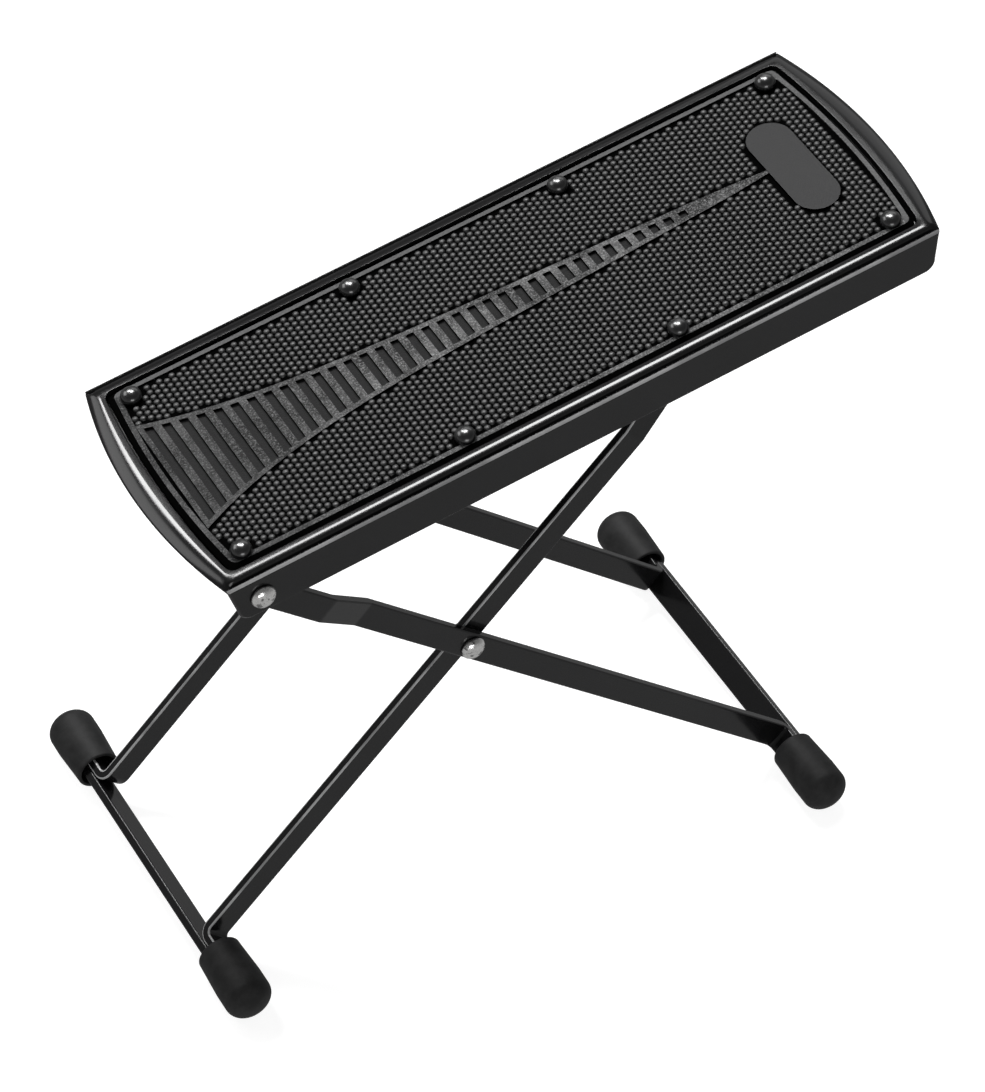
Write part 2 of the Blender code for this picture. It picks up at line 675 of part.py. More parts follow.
def add_floor_bar(name, parent, finish, along, mouth):
    """Cross bar welded behind both toes, with its ends in the rubber feet."""
    half = toe_end(mouth)
    rings = []
    for y in (-half, half):
        rings.append([(along + through, y, across) for through, across in bar_section(BAR_WIDTH / 2)])
    return add_object(name, *loft(rings), finish, parent)


def add_top_rod(scissor, finish):
    """Rod across the inner legs' tops, with tenons through the legs and peened ends."""
    face = INNER_LEG_AT_ROD - BAR_THICKNESS / 2 - FIT_GAP
    peen = INNER_LEG_AT_ROD + BAR_THICKNESS / 2 + FIT_GAP
    end = peen + ROD_PEEN_THICKNESS
    half = [(0, end), (ROD_PEEN_RADIUS - BAR_EDGE, end), (ROD_PEEN_RADIUS, end - BAR_EDGE),
            (ROD_PEEN_RADIUS, peen), (ROD_TENON_RADIUS, peen), (ROD_TENON_RADIUS, face), (ROD_RADIUS, face)]
    profile = half + [(radius, -y) for radius, y in half[::-1]]
    rod = add_object("inner_top_rod", *turned(profile, HEAD_SEGMENTS), finish, scissor)
    rod.location = (SCISSOR_TO_ROD, 0, 0)


def cap_profile(side, mouth):
    """Closed-ended rubber cap: round bore, slightly tapered wall, full-width band and domed end."""
    end = mouth + CAP_LENGTH
    shoulder = end - CAP_DOME
    profile = [(0, end - CAP_END_WALL), (CAP_BORE_RADIUS, end - CAP_END_WALL), (CAP_BORE_RADIUS, mouth)]
    profile += [(CAP_MOUTH_RADIUS - CAP_LIP, mouth), (CAP_MOUTH_RADIUS, mouth + CAP_LIP)]
    profile += [(CAP_RADIUS, shoulder - CAP_BAND), (CAP_RADIUS, shoulder)]
    for step in range(1, DOME_STEPS + 1):
        angle = pi / 2 * step / DOME_STEPS
        profile.append((CAP_RADIUS * cos(angle), shoulder + CAP_DOME * sin(angle)))
    profile[-1] = (0, end)
    return [(radius, side * y) for radius, y in profile]


def add_caps(parent, finish, along, leg_middle, turn, names):
    """A pair of rubber feet. One flat facet of each faces the floor."""
    mouth = cap_mouth(leg_middle)
    phase = pi / CAP_SEGMENTS - pi / 2
    for side, name in zip((-1, 1), names):
        shape = turned(cap_profile(side, mouth), CAP_SEGMENTS, phase=phase)
        cap = add_object(name, *shape, finish, parent)
        cap.location = (along, 0, 0)
        cap.rotation_euler = (0, -turn, 0)


def add_side_rivets(parent, finish, places, names):
    """Rivets along Y. places is (head's seat, tail's seat) across, measured outwards."""
    seat, end = places
    head = (RIVET_HEAD_RADIUS, RIVET_HEAD_HEIGHT)
    tail = (RIVET_TAIL_RADIUS, RIVET_TAIL_THICKNESS)
    profile = rivet_profile(head, tail, RIVET_SHANK_RADIUS, seat, end)
    for side, name in zip((-1, 1), names):
        shape = turned([(radius, side * y) for radius, y in profile], HEAD_SEGMENTS)
        add_object(name, *shape, finish, parent)


def add_washers(parent, finish, inner, names):
    """Thin spacers between the turning pieces."""
    outer = inner + WASHER_THICKNESS
    for side, name in zip((-1, 1), names):
        profile = [(HOLE_RADIUS, side * inner), (WASHER_RADIUS, side * inner),
                   (WASHER_RADIUS, side * outer), (HOLE_RADIUS, side * outer)]
        add_object(name, *turned(profile, HEAD_SEGMENTS, closed=True), finish, parent)


def rest_geometry():
    """Side view at rest in the plate's frame: scissor, rod and feet, with the plate's tilt."""
    scissor = (PIVOT_TO_SCISSOR * cos(OPEN_ANGLE), -PIVOT_TO_SCISSOR * sin(OPEN_ANGLE))
    rod_z = -RACK_TIP_BELOW_PIVOT - ROD_TO_TOOTH_GAP - ROD_RADIUS
    inner_angle = asin((rod_z - scissor[1]) / SCISSOR_TO_ROD)
    rod = (scissor[0] + SCISSOR_TO_ROD * cos(inner_angle), rod_z)
    left = (scissor[0] - SCISSOR_TO_FOOT * cos(inner_angle), scissor[1] - SCISSOR_TO_FOOT * sin(inner_angle))
    right = (PIVOT_TO_FOOT * cos(OPEN_ANGLE), -PIVOT_TO_FOOT * sin(OPEN_ANGLE))
    tilt = atan2(left[1] - right[1], right[0] - left[0])
    return {"scissor": scissor, "rod": rod, "left": left, "right": right,
            "inner_angle": inner_angle, "tilt": tilt}


def stand_on_origin(root, frame, side_view):
    """Lift the plate's frame until the feet meet the floor, and centre the whole over the origin."""
    tilt = side_view["tilt"]
    foot_x, foot_z = side_view["right"]
    drop = foot_x * sin(tilt) + foot_z * cos(tilt)
    frame.location = (0, 0, CAP_RADIUS * cos(pi / CAP_SEGMENTS) - drop)
    bpy.context.view_layer.update()
    lows, highs = [], []
    for item in root.children_recursive:
        if item.type == "MESH":
            corners = np.array([item.matrix_world @ vertex.co for vertex in item.data.vertices])
            lows.append(corners.min(axis=0))
            highs.append(corners.max(axis=0))
    low, high = np.min(lows, axis=0), np.max(highs, axis=0)
    root.location = (-(low[0] + high[0]) / 2, 0, 0)
    bpy.context.view_layer.update()
    return low, high


def report(side_view, places, low, high):
    """Prints what the joints and the record need: places in world metres and angles in degrees."""
    for name, item in places.items():
        print(name, [round(value, 6) for value in item.matrix_world.translation])
    print("size", [round(value, 5) for value in high - low])
    print("tilt", round(degrees(side_view["tilt"]), 3))
    fold = OPEN_ANGLE - FOLDED_ANGLE
    close = OPEN_ANGLE + side_view["inner_angle"] - FOLDED_ANGLE - INNER_FOLDED_ANGLE
    print("fold range", round(degrees(fold), 3), "ratio", round(close / fold, 4))


def build():
    clear_scene()
    finishes = make_materials()
    side_view = rest_geometry()
    coat, nickel = finishes["powder_coat"], finishes["nickel"]
    root = empty("footrest", None, (0, 0, 0), 0)
    frame = empty("plate_frame", root, (0, 0, 0), -side_view["tilt"])
    pivot = empty("outer_leg_pivot", frame, (0, 0, 0), OPEN_ANGLE)
    opening = OPEN_ANGLE + side_view["inner_angle"]
    scissor = empty("scissor_pivot", pivot, (PIVOT_TO_SCISSOR, 0, 0), -opening)

    add_foot_plate(frame, coat)
    add_mat(frame, finishes["rubber"])
    add_mat_rivets(frame, finishes["gloss"])
    add_racks(frame, coat, side_view["rod"][0])
    washer = OUTER_LEG_AT_PIVOT - BAR_THICKNESS / 2 - FIT_GAP - WASHER_THICKNESS
    add_side_rivets(frame, nickel, (SKIRT_OUTER + FIT_GAP, washer - FIT_GAP),
                    ("pivot_rivet_front", "pivot_rivet_back"))
    add_washers(frame, finishes["nylon"], washer, ("pivot_washer_front", "pivot_washer_back"))

    add_outer_legs(pivot, coat)
    mouth = cap_mouth(OUTER_LEG_AT_SCISSOR)
    add_floor_bar("outer_floor_bar", pivot, coat, PIVOT_TO_FOOT + STACK_OFFSET, mouth)
    add_caps(pivot, finishes["cap_rubber"], PIVOT_TO_FOOT, OUTER_LEG_AT_SCISSOR,
             OPEN_ANGLE - side_view["tilt"], ("outer_foot_front", "outer_foot_back"))
    crossing = empty("scissor_rivet_axis", pivot, (PIVOT_TO_SCISSOR, 0, 0), 0)
    outer_face = OUTER_LEG_AT_SCISSOR + BAR_THICKNESS / 2
    inner_face = INNER_LEG_AT_SCISSOR - BAR_THICKNESS / 2
    add_side_rivets(crossing, nickel, (outer_face + FIT_GAP, inner_face - FIT_GAP),
                    ("scissor_rivet_front", "scissor_rivet_back"))
    add_washers(crossing, finishes["nylon"], INNER_LEG_AT_SCISSOR + BAR_THICKNESS / 2 + FIT_GAP,
                ("scissor_washer_front", "scissor_washer_back"))

    add_inner_legs(scissor, coat)
    mouth = cap_mouth(INNER_LEG_AT_SCISSOR)
    add_floor_bar("inner_floor_bar", scissor, coat, -SCISSOR_TO_FOOT - STACK_OFFSET, mouth)
    add_caps(scissor, finishes["cap_rubber"], -SCISSOR_TO_FOOT, INNER_LEG_AT_SCISSOR,
             -side_view["inner_angle"] - side_view["tilt"], ("inner_foot_front", "inner_foot_back"))
    add_top_rod(scissor, coat)

    low, high = stand_on_origin(root, frame, side_view)
    report(side_view, {"pivot": pivot, "scissor": scissor}, low, high)


build()
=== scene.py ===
# %% [markdown]
# # A folding guitar footrest
#
# The solids of the footrest are already worked out as CAD pieces: a pressed steel foot plate with a
# rubber mat, and two crossed leg frames that turn on rivets. This lesson dresses them. Solids whose
# shape is right keep it and get a finish. Others are rebuilt as smooth surfaces worked out with
# numpy, and the mat gets its thousands of grip nubs, which are too fine for the CAD model.
#
# Everything is in metres, with Z up, in the frame of the CAD model.

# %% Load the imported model
from math import asin, cos, degrees, pi, radians, sin

import bmesh
import bpy
import numpy as np
from mathutils import Matrix, Vector


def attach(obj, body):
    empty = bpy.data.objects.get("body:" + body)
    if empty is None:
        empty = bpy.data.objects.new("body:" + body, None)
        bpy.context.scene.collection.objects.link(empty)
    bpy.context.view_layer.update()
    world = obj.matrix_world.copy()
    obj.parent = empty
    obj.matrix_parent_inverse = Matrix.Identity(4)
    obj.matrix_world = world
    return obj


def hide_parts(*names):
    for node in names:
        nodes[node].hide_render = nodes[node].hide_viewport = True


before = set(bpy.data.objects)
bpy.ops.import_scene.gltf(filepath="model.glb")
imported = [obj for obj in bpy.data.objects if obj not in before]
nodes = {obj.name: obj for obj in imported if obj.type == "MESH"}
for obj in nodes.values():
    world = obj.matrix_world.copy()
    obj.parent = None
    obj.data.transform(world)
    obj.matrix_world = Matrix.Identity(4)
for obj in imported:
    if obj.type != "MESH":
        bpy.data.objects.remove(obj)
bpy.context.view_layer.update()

# %% [markdown]
# ## Frames of the moving groups
#
# Most pieces belong to the sloping foot plate or to a leg frame, so their shapes are simplest in
# that group's own frame: x runs along the plate or the leg from its pivot, y runs across and z is
# square to both. One matrix carries such points to the world. Parenting objects to a tilted empty
# would be the other way, but it leaves turned objects behind, and the finished pieces sit at the
# origin unturned, with their place in their mesh.

# %% Frames
def slope_frame(origin, slope):
    """Matrix of a frame turned about Y, so that its x axis rises by the slope in degrees."""
    c, s = cos(radians(slope)), sin(radians(slope))
    matrix = np.eye(4)
    matrix[:3, :3] = [[c, 0, -s], [0, 1, 0], [s, 0, c]]
    matrix[:3, 3] = origin
    return matrix


def placed(points, matrix):
    """Points carried by a 4x4 matrix: each point turned, plus the frame's origin."""
    return np.asarray(points) @ matrix[:3, :3].T + matrix[:3, 3]


TILT, OUTER_SLOPE, INNER_SLOPE = 12.5957, -38.0343, 50.3285
PIVOT = (-0.108751, 0.0, 0.172008)
CROSSING = (-0.029278, 0.0, 0.109840)
PLATE = slope_frame(PIVOT, TILT)
OUTER_LEG = slope_frame(PIVOT, OUTER_SLOPE)
INNER_LEG = slope_frame(CROSSING, INNER_SLOPE)
SIDES = ((-1, "front"), (1, "back"))
print("plate rises by", TILT, "degrees")

# %% [markdown]
# ## Camera
#
# The camera stands where the photographer's did. Its place, turn and focal length come from lining
# up the eight mat rivets, the plate's corners and the feet, so the picture needs no shift.

# %% Camera
camera_data = bpy.data.cameras.new("camera")
camera_data.sensor_width = 36
camera_data.lens = 146.845
camera_data.clip_start, camera_data.clip_end = 0.05, 50
camera = bpy.data.objects.new("camera", camera_data)
bpy.context.scene.collection.objects.link(camera)
camera.matrix_world = Matrix((
    (0.866283834, 0.296967804, -0.401699454, -0.569591641),
    (-0.492776394, 0.639983952, -0.589569271, -0.839582086),
    (0.081998147, 0.708682358, 0.700746477, 1.100745678),
    (0, 0, 0, 1)))
bpy.context.scene.camera = camera
print("camera at", [round(v, 3) for v in camera.matrix_world.translation])

# %% [markdown]
# ## Meshes from whole arrays
#
# A new piece is a grid of points: one row for each step of a profile and one column for each step of
# an outline. `foreach_set` hands whole arrays over at once, which is far quicker than adding vertices
# one by one. Closed skins then get their normals recalculated, so that faces point outwards, and only
# edges sharper than an angle stay crisp.

# %% Mesh helpers
MM = 0.001


def grid_quads(rows, columns, closed=True):
    """Corner numbers of the quads of a grid, whose columns may close into a ring."""
    r, c = np.meshgrid(np.arange(rows - 1), np.arange(columns - (not closed)), indexing="ij")
    after = (c + 1) % columns
    corners = (r * columns + c, r * columns + after, (r + 1) * columns + after, (r + 1) * columns + c)
    return np.stack([corner.ravel() for corner in corners], axis=1)


def new_mesh(name, points, face_groups):
    """A mesh from points and arrays of faces, where each array's faces have equally many corners."""
    groups = [np.asarray(group, np.int32) for group in face_groups]
    sizes = np.concatenate([np.full(len(group), group.shape[1], np.int32) for group in groups])
    corners = np.concatenate([group.ravel() for group in groups])
    mesh = bpy.data.meshes.new(name)
    mesh.vertices.add(len(points))
    mesh.vertices.foreach_set("co", np.asarray(points, np.float32).ravel())
    mesh.loops.add(len(corners))
    mesh.loops.foreach_set("vertex_index", corners)
    mesh.polygons.add(len(sizes))
    mesh.polygons.foreach_set("loop_start", (np.cumsum(sizes) - sizes).astype(np.int32))
    mesh.update(calc_edges=True)
    return mesh


def face_outwards(mesh):
    """Turns every face of a closed skin to the outside."""
    work = bmesh.new()
    work.from_mesh(mesh)
    bmesh.ops.recalc_face_normals(work, faces=work.faces)
    work.to_mesh(mesh)
    work.free()


def add_piece(name, shape, finish, body, replaces=(), edge_highlight=None, sharp=38):
    """An object from (points, face groups) that rides on a body and may stand for CAD nodes."""
    mesh = new_mesh(name, *shape)
    face_outwards(mesh)
    mesh.shade_smooth()
    mesh.set_sharp_from_angle(angle=radians(sharp))
    # per point, how strong the painted highlight along edges is; the powder coat reads it
    if edge_highlight is not None:
        painted_highlight = mesh.attributes.new("edge", "FLOAT", "POINT")
        painted_highlight.data.foreach_set("value", np.asarray(edge_highlight, np.float32))
    mesh.materials.append(finish)
    piece = bpy.data.objects.new(name, mesh)
    bpy.context.scene.collection.objects.link(piece)
    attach(piece, body)
    if replaces:
        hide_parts(*replaces)
    print(name, len(mesh.polygons), "faces")


print("three rings of four points make", len(grid_quads(3, 4)), "quads")

# %% [markdown]
# ## Four ways to sweep a shape
#
# Nearly every solid here is one of four sweeps. A loft joins rings of equally many points. A turned
# piece carries a profile round an axis, and closes in a fan at each pole. A slab is cut to an outline
# and has rounded edges, which catch the light as real sheet does. A bar carries its section along a
# bent path. A Bevel modifier could round the edges too, but here the roundings are exact and few.

# %% Sweeps
FLAT = 0.05 * MM        # a ring this far inside a rounding keeps the flat face beside it flat


def arc(centre, radius, start, end, steps):
    """Points (u, v) = centre + radius (cos a, sin a), for a from start to end in degrees."""
    angle = np.radians(np.linspace(start, end, steps))
    return np.stack([centre[0] + radius * np.cos(angle), centre[1] + radius * np.sin(angle)], axis=1)


def lofted(rings):
    """Points and faces of a closed skin through rings, with a flat face at each end."""
    rings = np.asarray(rings)
    rows, columns = rings.shape[:2]
    first = np.arange(columns)[None]
    return rings.reshape(-1, 3), [grid_quads(rows, columns), first, first + (rows - 1) * columns]


def turned(profile, segments=48):
    """A profile of (r, y) carried round the Y axis: x = r cos a and z = r sin a.

    Its first and last points lie on the axis, where the skin closes in a fan of triangles.
    """
    radius, height = np.asarray(profile)[1:-1].T
    angle = 2 * pi * np.arange(segments) / segments
    x, z = np.outer(radius, np.cos(angle)), np.outer(radius, np.sin(angle))
    y = np.repeat(height[:, None], segments, axis=1)
    skin = np.stack([x, y, z], axis=-1).reshape(-1, 3)
    poles = [(0, profile[0][1], 0), (0, profile[-1][1], 0)]
    near = np.arange(segments)
    after = (near + 1) % segments
    last = (len(radius) - 1) * segments
    fans = [np.stack([np.full(segments, len(skin)), after, near], axis=1),
            np.stack([np.full(segments, len(skin) + 1), last + near, last + after], axis=1)]
    return np.vstack([skin, poles]), [grid_quads(len(radius), segments), *fans]


def moved_in(outline, distance):
    """A closed anticlockwise outline moved inwards: each corner goes along its mitre."""
    run = np.roll(outline, -1, axis=0) - outline
    run /= np.linalg.norm(run, axis=1)[:, None]
    inward = np.stack([-run[:, 1], run[:, 0]], axis=1)
    mitre = np.roll(inward, 1, axis=0) + inward
    mitre /= (mitre * inward).sum(axis=1)[:, None]
    return outline + mitre * distance


def slab(outline, low, high, edge, axis, steps=6, power=2.0):
    """A plate between two levels along an axis (0, 1 or 2), cut to an outline with rounded edges.

    Each edge is inset = edge (1 - sin^(2/p) a) and depth = edge (1 - cos^(2/p) a): a quarter circle
    for a power p of 2, and close to a straight chamfer for a power near 1.
    """
    swing = np.radians(np.linspace(0, 90, steps))
    inset = np.concatenate([[edge + FLAT], edge * (1 - np.sin(swing) ** (2 / power))])
    depth = np.concatenate([[0], edge * (1 - np.clip(np.cos(swing), 0, 1) ** (2 / power))])
    levels = np.concatenate([low + depth, high - depth[::-1]])
    insets = np.concatenate([inset, inset[::-1]])
    outline = np.asarray(outline, float)
    rings = [np.insert(moved_in(outline, i), axis, z, axis=1) for i, z in zip(insets, levels)]
    return lofted(rings)


def joined(*shapes):
    """Several closed shapes as one list of points and face groups."""
    points, groups, start = [], [], 0
    for more_points, more_groups in shapes:
        points.append(np.asarray(more_points))
        groups += [np.asarray(group) + start for group in more_groups]
        start += len(more_points)
    return np.vstack(points), groups


def carried(shape, matrix):
    """The shape with its points placed by a matrix."""
    return placed(shape[0], matrix), shape[1]


print("flat support ring", FLAT, "m")

# %% [markdown]
# ## Shader maths as expressions
#
# Noise, masks and bumps are sums and products of numbers that vary over a surface. Written as Python
# expressions they stay readable: a `Wire` wraps a socket, and each operator adds one Math node.
# Colours go through a Mix node instead, because a Math node would turn them grey.

# %% Wires and finishes
class Wire:
    """One value that varies over a surface. Arithmetic on it adds Math nodes."""

    def __init__(self, finish, socket):
        self.finish, self.socket = finish, socket

    def maths(self, operation, *others):
        return self.finish.node("ShaderNodeMath", {"operation": operation}, (self, *others))

    def __add__(self, other):
        return self.maths("ADD", other)

    __radd__ = __add__

    def __mul__(self, other):
        return self.maths("MULTIPLY", other)

    __rmul__ = __mul__

    def __sub__(self, other):
        return self.maths("SUBTRACT", other)

    def __rsub__(self, other):
        return self.finish.node("ShaderNodeMath", {"operation": "SUBTRACT"}, (other, self))

    def __abs__(self):
        return self.maths("ABSOLUTE")

    def at_least(self, other):
        return self.maths("MAXIMUM", other)

    def power(self, other):
        return self.maths("POWER", other)

    def ramp(self, low, high):
        """0 below low, 1 above high, and smooth in between; falls instead where low is the greater."""
        inputs = {"Value": self, "From Min": low, "From Max": high}
        return self.finish.node("ShaderNodeMapRange", {"interpolation_type": "SMOOTHSTEP"}, inputs)


class Shading:
    """A node tree that is built up node by node."""

    def __init__(self, owner, shader):
        owner.use_nodes = True
        self.tree = owner.node_tree
        self.shader = self.tree.nodes[shader]

    def node(self, kind, settings=(), inputs=(), output=0):
        """Adds a node: its settings first, then values or links for its sockets, by name or number."""
        made = self.tree.nodes.new(kind)
        for key, value in dict(settings).items():
            setattr(made, key, value)
        pairs = inputs.items() if isinstance(inputs, dict) else enumerate(inputs)
        for key, value in pairs:
            if isinstance(value, Wire):
                self.tree.links.new(value.socket, made.inputs[key])
            else:
                made.inputs[key].default_value = value
        return Wire(self, made.outputs[output])

    def set(self, **inputs):
        """Sets the shader's sockets; underscores in a name stand for spaces."""
        for key, value in inputs.items():
            socket = self.shader.inputs[key.replace("_", " ")]
            if isinstance(value, Wire):
                self.tree.links.new(value.socket, socket)
            else:
                socket.default_value = value

    def parts(self, vector):
        """The x, y and z of a vector, as three wires."""
        split = self.node("ShaderNodeSeparateXYZ", {}, (vector,))
        return [Wire(self, split.socket.node.outputs[k]) for k in range(3)]


class Finish(Shading):
    """A Principled material."""

    def __init__(self, name, **constants):
        self.material = bpy.data.materials.new(name)
        super().__init__(self.material, "Principled BSDF")
        self.set(**constants)

    def place(self):
        """Where a point lies on the piece, in metres."""
        return self.node("ShaderNodeTexCoord", output="Object")

    def noise(self, size, detail=3.0, roughness=0.55, stretch=(1, 1, 1)):
        """Cloudy values of about 0.2 to 0.8, whose blotches have a size in metres."""
        scaled = self.node("ShaderNodeMapping", {}, {"Vector": self.place(), "Scale": stretch})
        inputs = {"Vector": scaled, "Scale": 1 / size, "Detail": detail, "Roughness": roughness}
        return self.node("ShaderNodeTexNoise", {}, inputs)

    def attribute(self, name):
        """A number stored with the piece's points."""
        return self.node("ShaderNodeAttribute", {"attribute_name": name}, output="Fac")

    def mix(self, share, first, second):
        """The first colour where the share is 0, and the second where it is 1.

        A Mix node has sockets for several kinds of value: 6 and 7 take colours, and 2 gives one.
        """
        colours = [(*colour, 1) if isinstance(colour, tuple) else colour for colour in (first, second)]
        inputs = {"Factor": share, 6: colours[0], 7: colours[1]}
        return self.node("ShaderNodeMix", {"data_type": "RGBA"}, inputs, output=2)

    def bump(self, height, depth, normal=None):
        """The normal tilted by a height of 0 to 1, whose full step is a depth in metres."""
        inputs = {"Height": height, "Distance": depth}
        if normal is not None:
            inputs["Normal"] = normal
        return self.node("ShaderNodeBump", {}, inputs)


print("helpers", [helper.__name__ for helper in (Wire, Shading, Finish)])

# %% [markdown]
# ## Satin black powder coat
#
# Powder coat flows into a fine orange peel as it is baked, with blotches of about a millimetre. Along
# chosen edges its colour is painted lighter, up to light grey: a painted highlight, in the form of
# paint worn thin and down to steel. The peel is a noise in a bump, the polish is a slow change of
# roughness, and a few lighter specks of dust break up the black. How much painted highlight each point
# gets is stored with its points, in an attribute called edge.

# %% Powder coat
def powder_coat(name):
    black, dusty, highlight_grey = (0.0040, 0.0040, 0.0042), (0.020, 0.020, 0.021), (0.34, 0.34, 0.342)
    coat = Finish(name, Specular_IOR_Level=0.32)
    edge_highlight = coat.attribute("edge")
    peel = coat.noise(0.0011, detail=2.0)
    patches = coat.noise(0.018, detail=3.0)
    dust = coat.noise(0.0007, detail=4.0, roughness=0.7).ramp(0.68, 0.80)
    # The edge attribute paints a highlight: patchy lightening, then light grey where it is strongest,
    # in the form of paint worn thin and down to steel.
    patchy_highlight = edge_highlight * patches.ramp(0.45, 0.75)
    bare = edge_highlight.ramp(0.4, 1.0) * (0.6 + patches.ramp(0.40, 0.60) * 0.4)
    paint = coat.mix(dust * 0.2 + patches * 0.2 + patchy_highlight * 0.4, black, dusty)
    coat.set(Base_Color=coat.mix(bare, paint, highlight_grey))
    coat.set(Roughness=0.13 + patches * 0.05 - patchy_highlight * 0.03)
    coat.set(Normal=coat.bump(peel, 0.0000025))
    return coat.material


steel = powder_coat("satin_powder_coat")
print("finish", steel.name)

# %% [markdown]
# ## Black rubber
#
# The mat and the feet are moulded rubber. Rubber shows a fine, dull grain from the spark-eroded
# mould, a little grey bloom and dust in patches, and shinier places where it is rubbed. The mat's
# bare pad comes from a polished part of the mould, so it is smooth and evenly grey. A mask in the
# plate's own frame finds the pad: the distance from a stadium, which is a line with a radius. A
# second mask paints the border along the back and at the raised end a little lighter, a painted
# highlight on the edges that face the lights, and makes it a little smoother. The grain's light
# specks are halved towards the pivot end, painted shade that darkens the border and tread there.
# The field between the nubs and the mat's side walls get a near-black painted shade, and the nubs'
# rubber is painted far darker than the mat's, painted shade for their flanks.

# %% Rubber
MAT_MIDDLE = 0.1132                     # along the plate, from its pivot
END_CURVE = 1.96                        # the mat's ends bow by this much times y squared
BADGE_CENTRE = (0.2142, 0.0010)
BADGE_HALF_LENGTH, BADGE_RADIUS = 0.0209, 0.0076
# Where masks rise from 0 to 1
RAISED_LEVEL = (0.0084, 0.0087)         # border, tread and pad, above the field of nubs
PAD_LEVEL = (0.0088, 0.0090)
BACK_LIP = (0.0387, 0.0390)
END_LIP = (MAT_MIDDLE + 0.1193, MAT_MIDDLE + 0.1196)


def plate_place(finish):
    """A point's place in the plate's frame, as wires x, y and z."""
    settings = {"vector_type": "TEXTURE"}
    inputs = {"Vector": finish.place(), "Location": PIVOT, "Rotation": (0, -radians(TILT), 0)}
    return finish.parts(finish.node("ShaderNodeMapping", settings, inputs))


def mat_rubber():
    """The mat's border, tread and bare pad."""
    dark, specks = (0.027, 0.027, 0.0273), (0.440, 0.440, 0.441)
    bare, lip_highlight = (0.040, 0.040, 0.0405), (0.130, 0.130, 0.131)
    rubber = Finish("mat_rubber_finish", Specular_IOR_Level=0.14)
    x, y, z = plate_place(rubber)
    beyond = (abs(y - BADGE_CENTRE[1]) - (BADGE_HALF_LENGTH - BADGE_RADIUS)).at_least(0)
    aside = x - BADGE_CENTRE[0]
    distance = (beyond * beyond + aside * aside).power(0.5)
    pad = distance.ramp(BADGE_RADIUS + 0.0001, BADGE_RADIUS - 0.0002) * z.ramp(*PAD_LEVEL)
    raised = z.ramp(*RAISED_LEVEL)
    bowed = x + y * y * END_CURVE
    # painted highlight: the lip along the back and at the raised end, which faces the lights, is made
    # lighter
    lip = y.ramp(*BACK_LIP).at_least(bowed.ramp(*END_LIP) * 0.7) * raised
    grain = rubber.noise(0.0006, detail=4.0, roughness=0.75)
    bloom = rubber.noise(0.014, detail=4.0, roughness=0.6)
    speckle = grain.ramp(0.45, 0.72)
    # the light specks are halved towards the pivot end: painted shade that darkens the border and tread
    # there
    light = (bloom.ramp(0.35, 0.75) * 0.3 + speckle * 0.7) * raised * (0.5 + x.ramp(0.0, 0.08) * 0.5)
    plain = rubber.mix(pad, rubber.mix(light, dark, specks), bare)
    rubber.set(Base_Color=rubber.mix(lip, plain, lip_highlight))
    rubber.set(Roughness=0.60 + grain * 0.12 - pad * 0.08 - lip * 0.12)
    rubber.set(Normal=rubber.bump(grain * (1 - pad * 0.7), 0.00045))
    return rubber.material


def painted_shade_rubber():
    """The field between the nubs, and the mat's side walls: rough rubber painted near black, a painted
    shade where little light reaches.
    """
    rubber = Finish("painted_shade_rubber_finish", Specular_IOR_Level=0.02)
    grain = rubber.noise(0.0005, detail=3.0, roughness=0.6)
    # near black: painted shade in the grooves and on the side walls
    rubber.set(Base_Color=rubber.mix(grain, (0.0002, 0.0002, 0.0002), (0.0010, 0.0010, 0.0010)))
    rubber.set(Roughness=0.80 + grain * 0.15, Normal=rubber.bump(grain, 0.00010))
    return rubber.material


def grip_rubber():
    """The nubs: the mat's rubber, rubbed smoother at their tops, and painted far darker as painted
    shade.
    """
    rubber = Finish("grip_rubber_finish", Specular_IOR_Level=0.85)
    grain = rubber.noise(0.00025, detail=2.0, roughness=0.6)
    bloom = rubber.noise(0.0026, detail=4.0, roughness=0.7)
    # a base far darker than the mat's rubber: painted shade on the nubs' flanks, with dust in patches
    dark, dusty = (0.0008, 0.0008, 0.0009), (0.0045, 0.0045, 0.0047)
    rubber.set(Base_Color=rubber.mix(bloom.ramp(0.35, 0.75), dark, dusty))
    rubber.set(Roughness=0.30 + grain * 0.10 + bloom * 0.26)
    rubber.set(Normal=rubber.bump(grain, 0.00003))
    return rubber.material


def foot_rubber():
    """The four feet: smooth rubber, a little mottled."""
    rubber = Finish("foot_rubber_finish", Specular_IOR_Level=0.15)
    grain = rubber.noise(0.00025, detail=2.0, roughness=0.6)
    mottle = rubber.noise(0.0045, detail=4.0, roughness=0.65)
    dark, grey = (0.0115, 0.0115, 0.0117), (0.0210, 0.0210, 0.0213)
    rubber.set(Base_Color=rubber.mix(mottle.ramp(0.3, 0.75), dark, grey))
    rubber.set(Roughness=0.46 + mottle * 0.14 + grain * 0.06)
    rubber.set(Normal=rubber.bump(grain * 0.5 + mottle * 0.5, 0.00007))
    return rubber.material


mat_finish, painted_shade_finish = mat_rubber(), painted_shade_rubber()
grip_finish, foot_finish = grip_rubber(), foot_rubber()
print("finishes", mat_finish.name, painted_shade_finish.name, grip_finish.name, foot_finish.name)

# %% [markdown]
# ## Rivets and washers
#
# The mat rivets are enamelled in gloss black, and what makes them read as such is a clean, bright
# reflection of the soft box. The side rivets are nickel plated: metallic, slightly hammered by the
# setting tool, and dark in blotches, which are tarnish and painted dark reflections.

